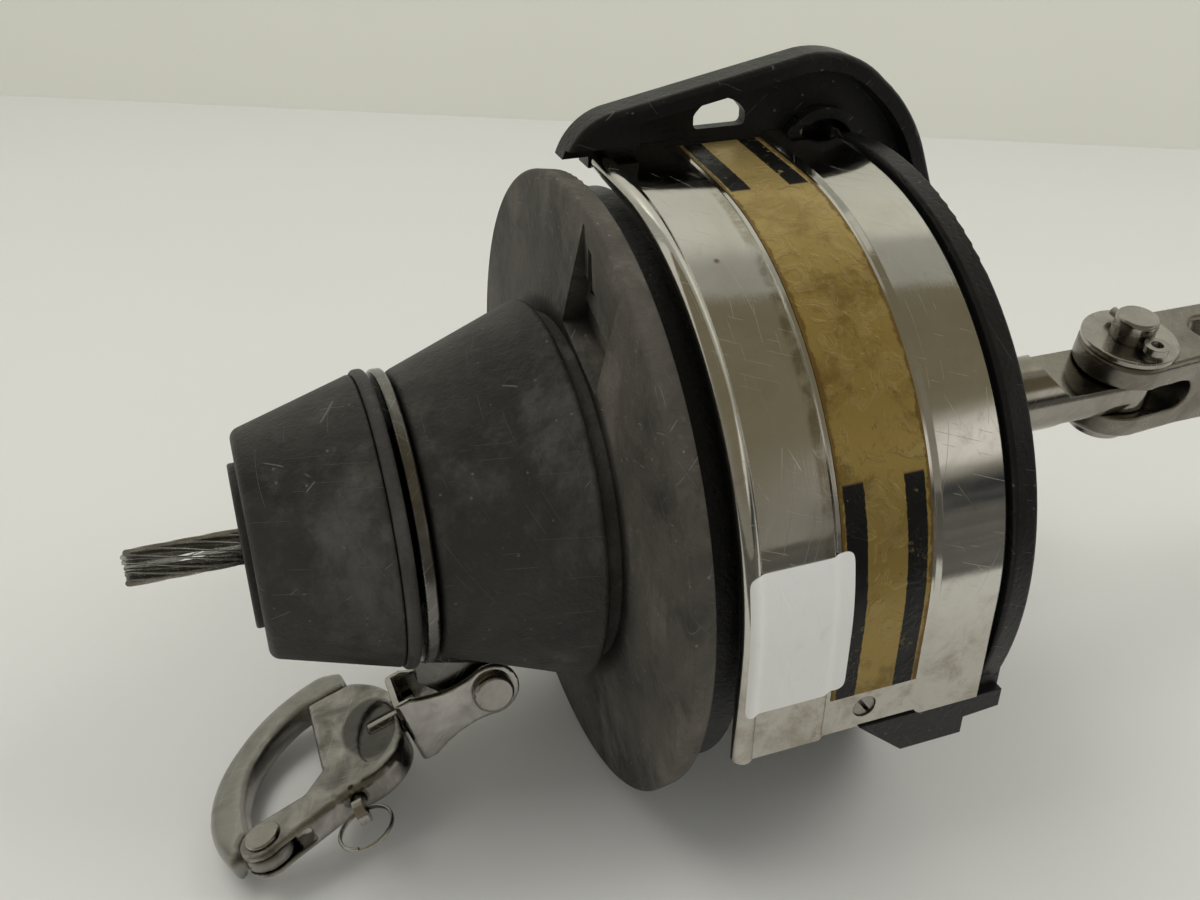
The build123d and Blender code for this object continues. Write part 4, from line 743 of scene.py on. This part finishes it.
deselectAll()
stickerSize = (sticker["x"][1] - sticker["x"][0], sticker["z"][1] - sticker["z"][0])
bpy.ops.mesh.primitive_plane_add(size=1.0 * mm, location=(0, 0, 0), rotation=(radians(90), 0, 0))
paper = bpy.context.object
paper.scale = (stickerSize[0], stickerSize[1], 1.0)
paper.location = (sum(sticker["x"]) / 2 * mm, sticker["away"] * mm, sum(sticker["z"]) / 2 * mm)
applyPlace(paper)
bpy.ops.object.mode_set(mode="EDIT")
bpy.ops.mesh.select_all(action="SELECT")
bpy.ops.mesh.bevel(offset=sticker["corner"] * mm, segments=sticker["cornerSteps"], affect="VERTICES")
sliceEvenly(paper, Vector((1, 0, 0)), sticker["x"], sticker["slicesX"])
sliceEvenly(paper, Vector((0, 0, 1)), sticker["z"], sticker["slicesZ"])
addModifier(
    paper, "SHRINKWRAP", target=nodes["cover_band"], wrap_method="PROJECT", offset=sticker["lift"] * mm,
    use_project_x=False, use_project_y=True, use_negative_direction=True, use_positive_direction=True,
)
addModifier(paper, "SMOOTH", factor=0.5, iterations=sticker["softer"])
applyAll(paper)
addModifier(paper, "SOLIDIFY", thickness=sticker["thick"] * mm, offset=0.0)
applyAll(paper)
faceOutward(paper)
finishPiece(paper, "stickerPaper", "frame", stickerPaper())
shadeSmooth(paper, sticker["smooth"])
print("sticker")


# Castings: a merged copy of the CAD form, voxel remeshed so that every edge is softly rounded
castings = (  # node, piece, body, material, voxel in millimetres, smoothing passes
    ("shackle_body", "shackleBodyCasting", "shackle", shackleSteel, 0.32, 7),
    ("bail", "shackleBailCasting", "bail", bailSteel, 0.40, 34),
    ("tack_jaw", "tackJawPressing", "jaw", castSteel, 0.30, 3),
    ("toggle", "toggleCasting", "toggle", toggleSteel, 0.42, 7),
)


def softCasting(nodeName, pieceName, body, material, voxel, passes):
    source = nodes[nodeName]
    piece = bpy.data.objects.new(pieceName, source.data.copy())
    bpy.context.scene.collection.objects.link(piece)
    makeActive(piece)
    bpy.ops.object.mode_set(mode="EDIT")
    bpy.ops.mesh.select_all(action="SELECT")
    bpy.ops.mesh.remove_doubles(threshold=0.002 * mm)
    bpy.ops.object.mode_set(mode="OBJECT")
    addModifier(piece, "REMESH", mode="VOXEL", voxel_size=voxel * mm)
    addModifier(piece, "SMOOTH", factor=0.5, iterations=passes)
    applyAll(piece)
    finishPiece(piece, pieceName, body, material)
    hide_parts(nodeName)
    shadeSmooth(piece, 60)


for casting in castings:
    softCasting(*casting)
print("castings")

# Split ring: one wire wound twice by the Screw modifier
splitRing = {
    "radius": 6.0, "wire": 0.37, "turns": 1.93, "rise": 0.78, "sides": 12, "steps": 96, "smooth": 50,
    "roll": 9.0, "slope": 18.0,
}
ringBox = [Vector(corner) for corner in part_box("pull_ring")]
ringMiddle = (ringBox[0] + ringBox[1]) / 2
tackRoll, jawSlope = radians(splitRing["roll"]), radians(splitRing["slope"])
down = Vector((0, -sin(tackRoll), -cos(tackRoll)))
nearSide = Vector((0, -cos(tackRoll), sin(tackRoll)))
along = Vector((-cos(jawSlope), 0, 0)) + down * sin(jawSlope)
normalUp = Vector((-sin(jawSlope), 0, 0)) - down * cos(jawSlope)
deselectAll()
bpy.ops.mesh.primitive_circle_add(
    vertices=splitRing["sides"], radius=splitRing["wire"] * mm, fill_type="NGON",
    location=(splitRing["radius"] * mm, 0, 0), rotation=(radians(90), 0, 0),
)
ring = bpy.context.object
applyPlace(ring)
climb = splitRing["rise"] * mm * splitRing["turns"] / 2
addModifier(
    ring, "SCREW", axis="Z", angle=2 * pi * splitRing["turns"], screw_offset=climb,
    steps=splitRing["steps"], render_steps=splitRing["steps"],
)
applyAll(ring)
ringTurn = Matrix((nearSide, -along, normalUp)).transposed().to_4x4()
ring.matrix_world = Matrix.Translation(ringMiddle) @ ringTurn @ Matrix.Translation((0, 0, -climb / 2))
applyPlace(ring)
faceOutward(ring)
finishPiece(ring, "pullSplitRing", "ring", pinSteel)
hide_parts("pull_ring")
shadeSmooth(ring, splitRing["smooth"])
print("pull ring")

# Table, wall and light
stage = {
    "tableZ": -71.3, "below": 0.2, "wallA": (-105.0, 708.0), "wallB": (585.0, 327.0), "size": 6.0,
    "tableColor": (0.68, 0.675, 0.65), "wallColor": (0.80, 0.80, 0.725),
}
roomEdge = {  # where the table ends as the metal reflects it, and the dim, streaked room beyond
    "y": (-205.0, -217.0), "bandY": -60.0, "drop": 71.0, "streaks": 60.0,
    "colors": ((0.035, 0.038, 0.045), (0.16, 0.155, 0.14)),
}


def paleSurface(name, color, beyond=None):
    s = Shader(name)
    cloud = s.noise(s.place, 2.2, 3.0)
    tone = s.blend(s.fade(cloud, 0.3, 0.7), color, tuple(value * 0.97 for value in color))
    if beyond:
        x, y, z = s.axes()
        glossy = s.node("ShaderNodeLightPath", {}, {}, "Is Glossy Ray")
        slope = beyond["drop"] / (beyond["bandY"] - y)
        streak = s.fade(s.noise(s.vector(0.0, 0.0, slope), beyond["streaks"], 2.0, 0.7), 0.44, 0.52)
        tone = s.blend(glossy * s.fade(y, *beyond["y"]), tone, s.blend(streak, *beyond["colors"]))
    return s.finish(Base_Color=tone, Roughness=0.5, Specular_IOR_Level=0.3)


def stagePlane(name, place, turn, material):
    deselectAll()
    bpy.ops.mesh.primitive_plane_add(size=stage["size"], location=place, rotation=turn)
    plane = bpy.context.object
    plane.name = name
    plane.data.materials.append(material)
    return plane


tablePlace = (0, 0, (stage["tableZ"] - stage["below"]) * mm)
table = stagePlane("table", tablePlace, (0, 0, 0), paleSurface("tableTop", stage["tableColor"], roomEdge))
wallStart = Vector((*stage["wallA"], 0)) * mm
wallEnd = Vector((*stage["wallB"], 0)) * mm
wallTurn = atan2(wallEnd.y - wallStart.y, wallEnd.x - wallStart.x)
wallPaint = paleSurface("wallPaint", stage["wallColor"])
wall = stagePlane("wall", (wallStart + wallEnd) / 2, (radians(90), 0, wallTurn), wallPaint)


def areaLamp(name, place, target, size, power, color):
    bpy.ops.object.light_add(type="AREA", location=Vector(place))
    lamp = bpy.context.object
    lamp.name = name
    lamp.data.shape = "RECTANGLE"
    lamp.data.size, lamp.data.size_y = size
    lamp.data.energy = power
    lamp.data.color = color
    lamp.visible_glossy = False
    lamp.rotation_euler = (Vector(target) - Vector(place)).to_track_quat("-Z", "Y").to_euler()


areaLamp("keyLamp", (-0.35, 0.25, 1.1), (0.08, 0, 0), (1.0, 0.5), 5.6, (1.0, 0.99, 0.96))
areaLamp("sideLamp", (0.9, -0.3, 0.9), (0.1, 0, 0), (0.5, 0.5), 4.0, (1.0, 0.99, 0.97))

# World: plain light; polished metal sees a pale ceiling, a dim room behind the camera and its shelves
room = {
    "plain": (0.57, 0.57, 0.553), "floor": (0.27, 0.255, 0.215), "upper": (0.205, 0.180, 0.120),
    "window": (0.86, 0.83, 0.76), "shelves": (0.022, 0.026, 0.032), "ceiling": (0.66, 0.65, 0.58),
    "ceilingSlope": 0.33, "streaks": 60.0,
}


def roomWorld():
    world = bpy.data.worlds.new("roomLight")
    bpy.context.scene.world = world
    world.use_nodes = True
    s = Shader.__new__(Shader)
    s.tree = world.node_tree
    s.place = s.node("ShaderNodeTexCoord", {}, {}, "Generated")
    x, y, z = (s.node("ShaderNodeSeparateXYZ", {}, {0: s.place}, i) for i in range(3))
    ceiling = s.fade(y - z * room["ceilingSlope"], -0.02, 0.02)
    streak = s.fade(s.noise(s.vector(0.0, 0.0, z), room["streaks"], 2.0, 0.7), 0.42, 0.50)
    shelves = (0.35 + streak * 0.65) * s.fade(z, 0.16, 0.10) * s.fade(x, 0.42, 0.54)
    window = s.fade(z, 0.14, 0.24) * s.fade(z, 0.50, 0.34) * s.fade(x, 0.44, 0.54) * s.fade(y, -0.1, -0.3)
    seen = s.layered(
        room["floor"],
        (s.fade(z, 0.02, 0.62), room["upper"]),
        (window, room["window"]),
        (shelves, room["shelves"]),
        (ceiling, room["ceiling"]),
    )
    glossy = s.node("ShaderNodeLightPath", {}, {}, "Is Glossy Ray")
    shown = s.blend(glossy, room["plain"], seen)
    background = world.node_tree.nodes["Background"]
    s.tree.links.new(shown.out, background.inputs["Color"])
    background.inputs["Strength"].default_value = 1.0


roomWorld()
bpy.context.scene.view_settings.view_transform = "Standard"
print("stage and light")
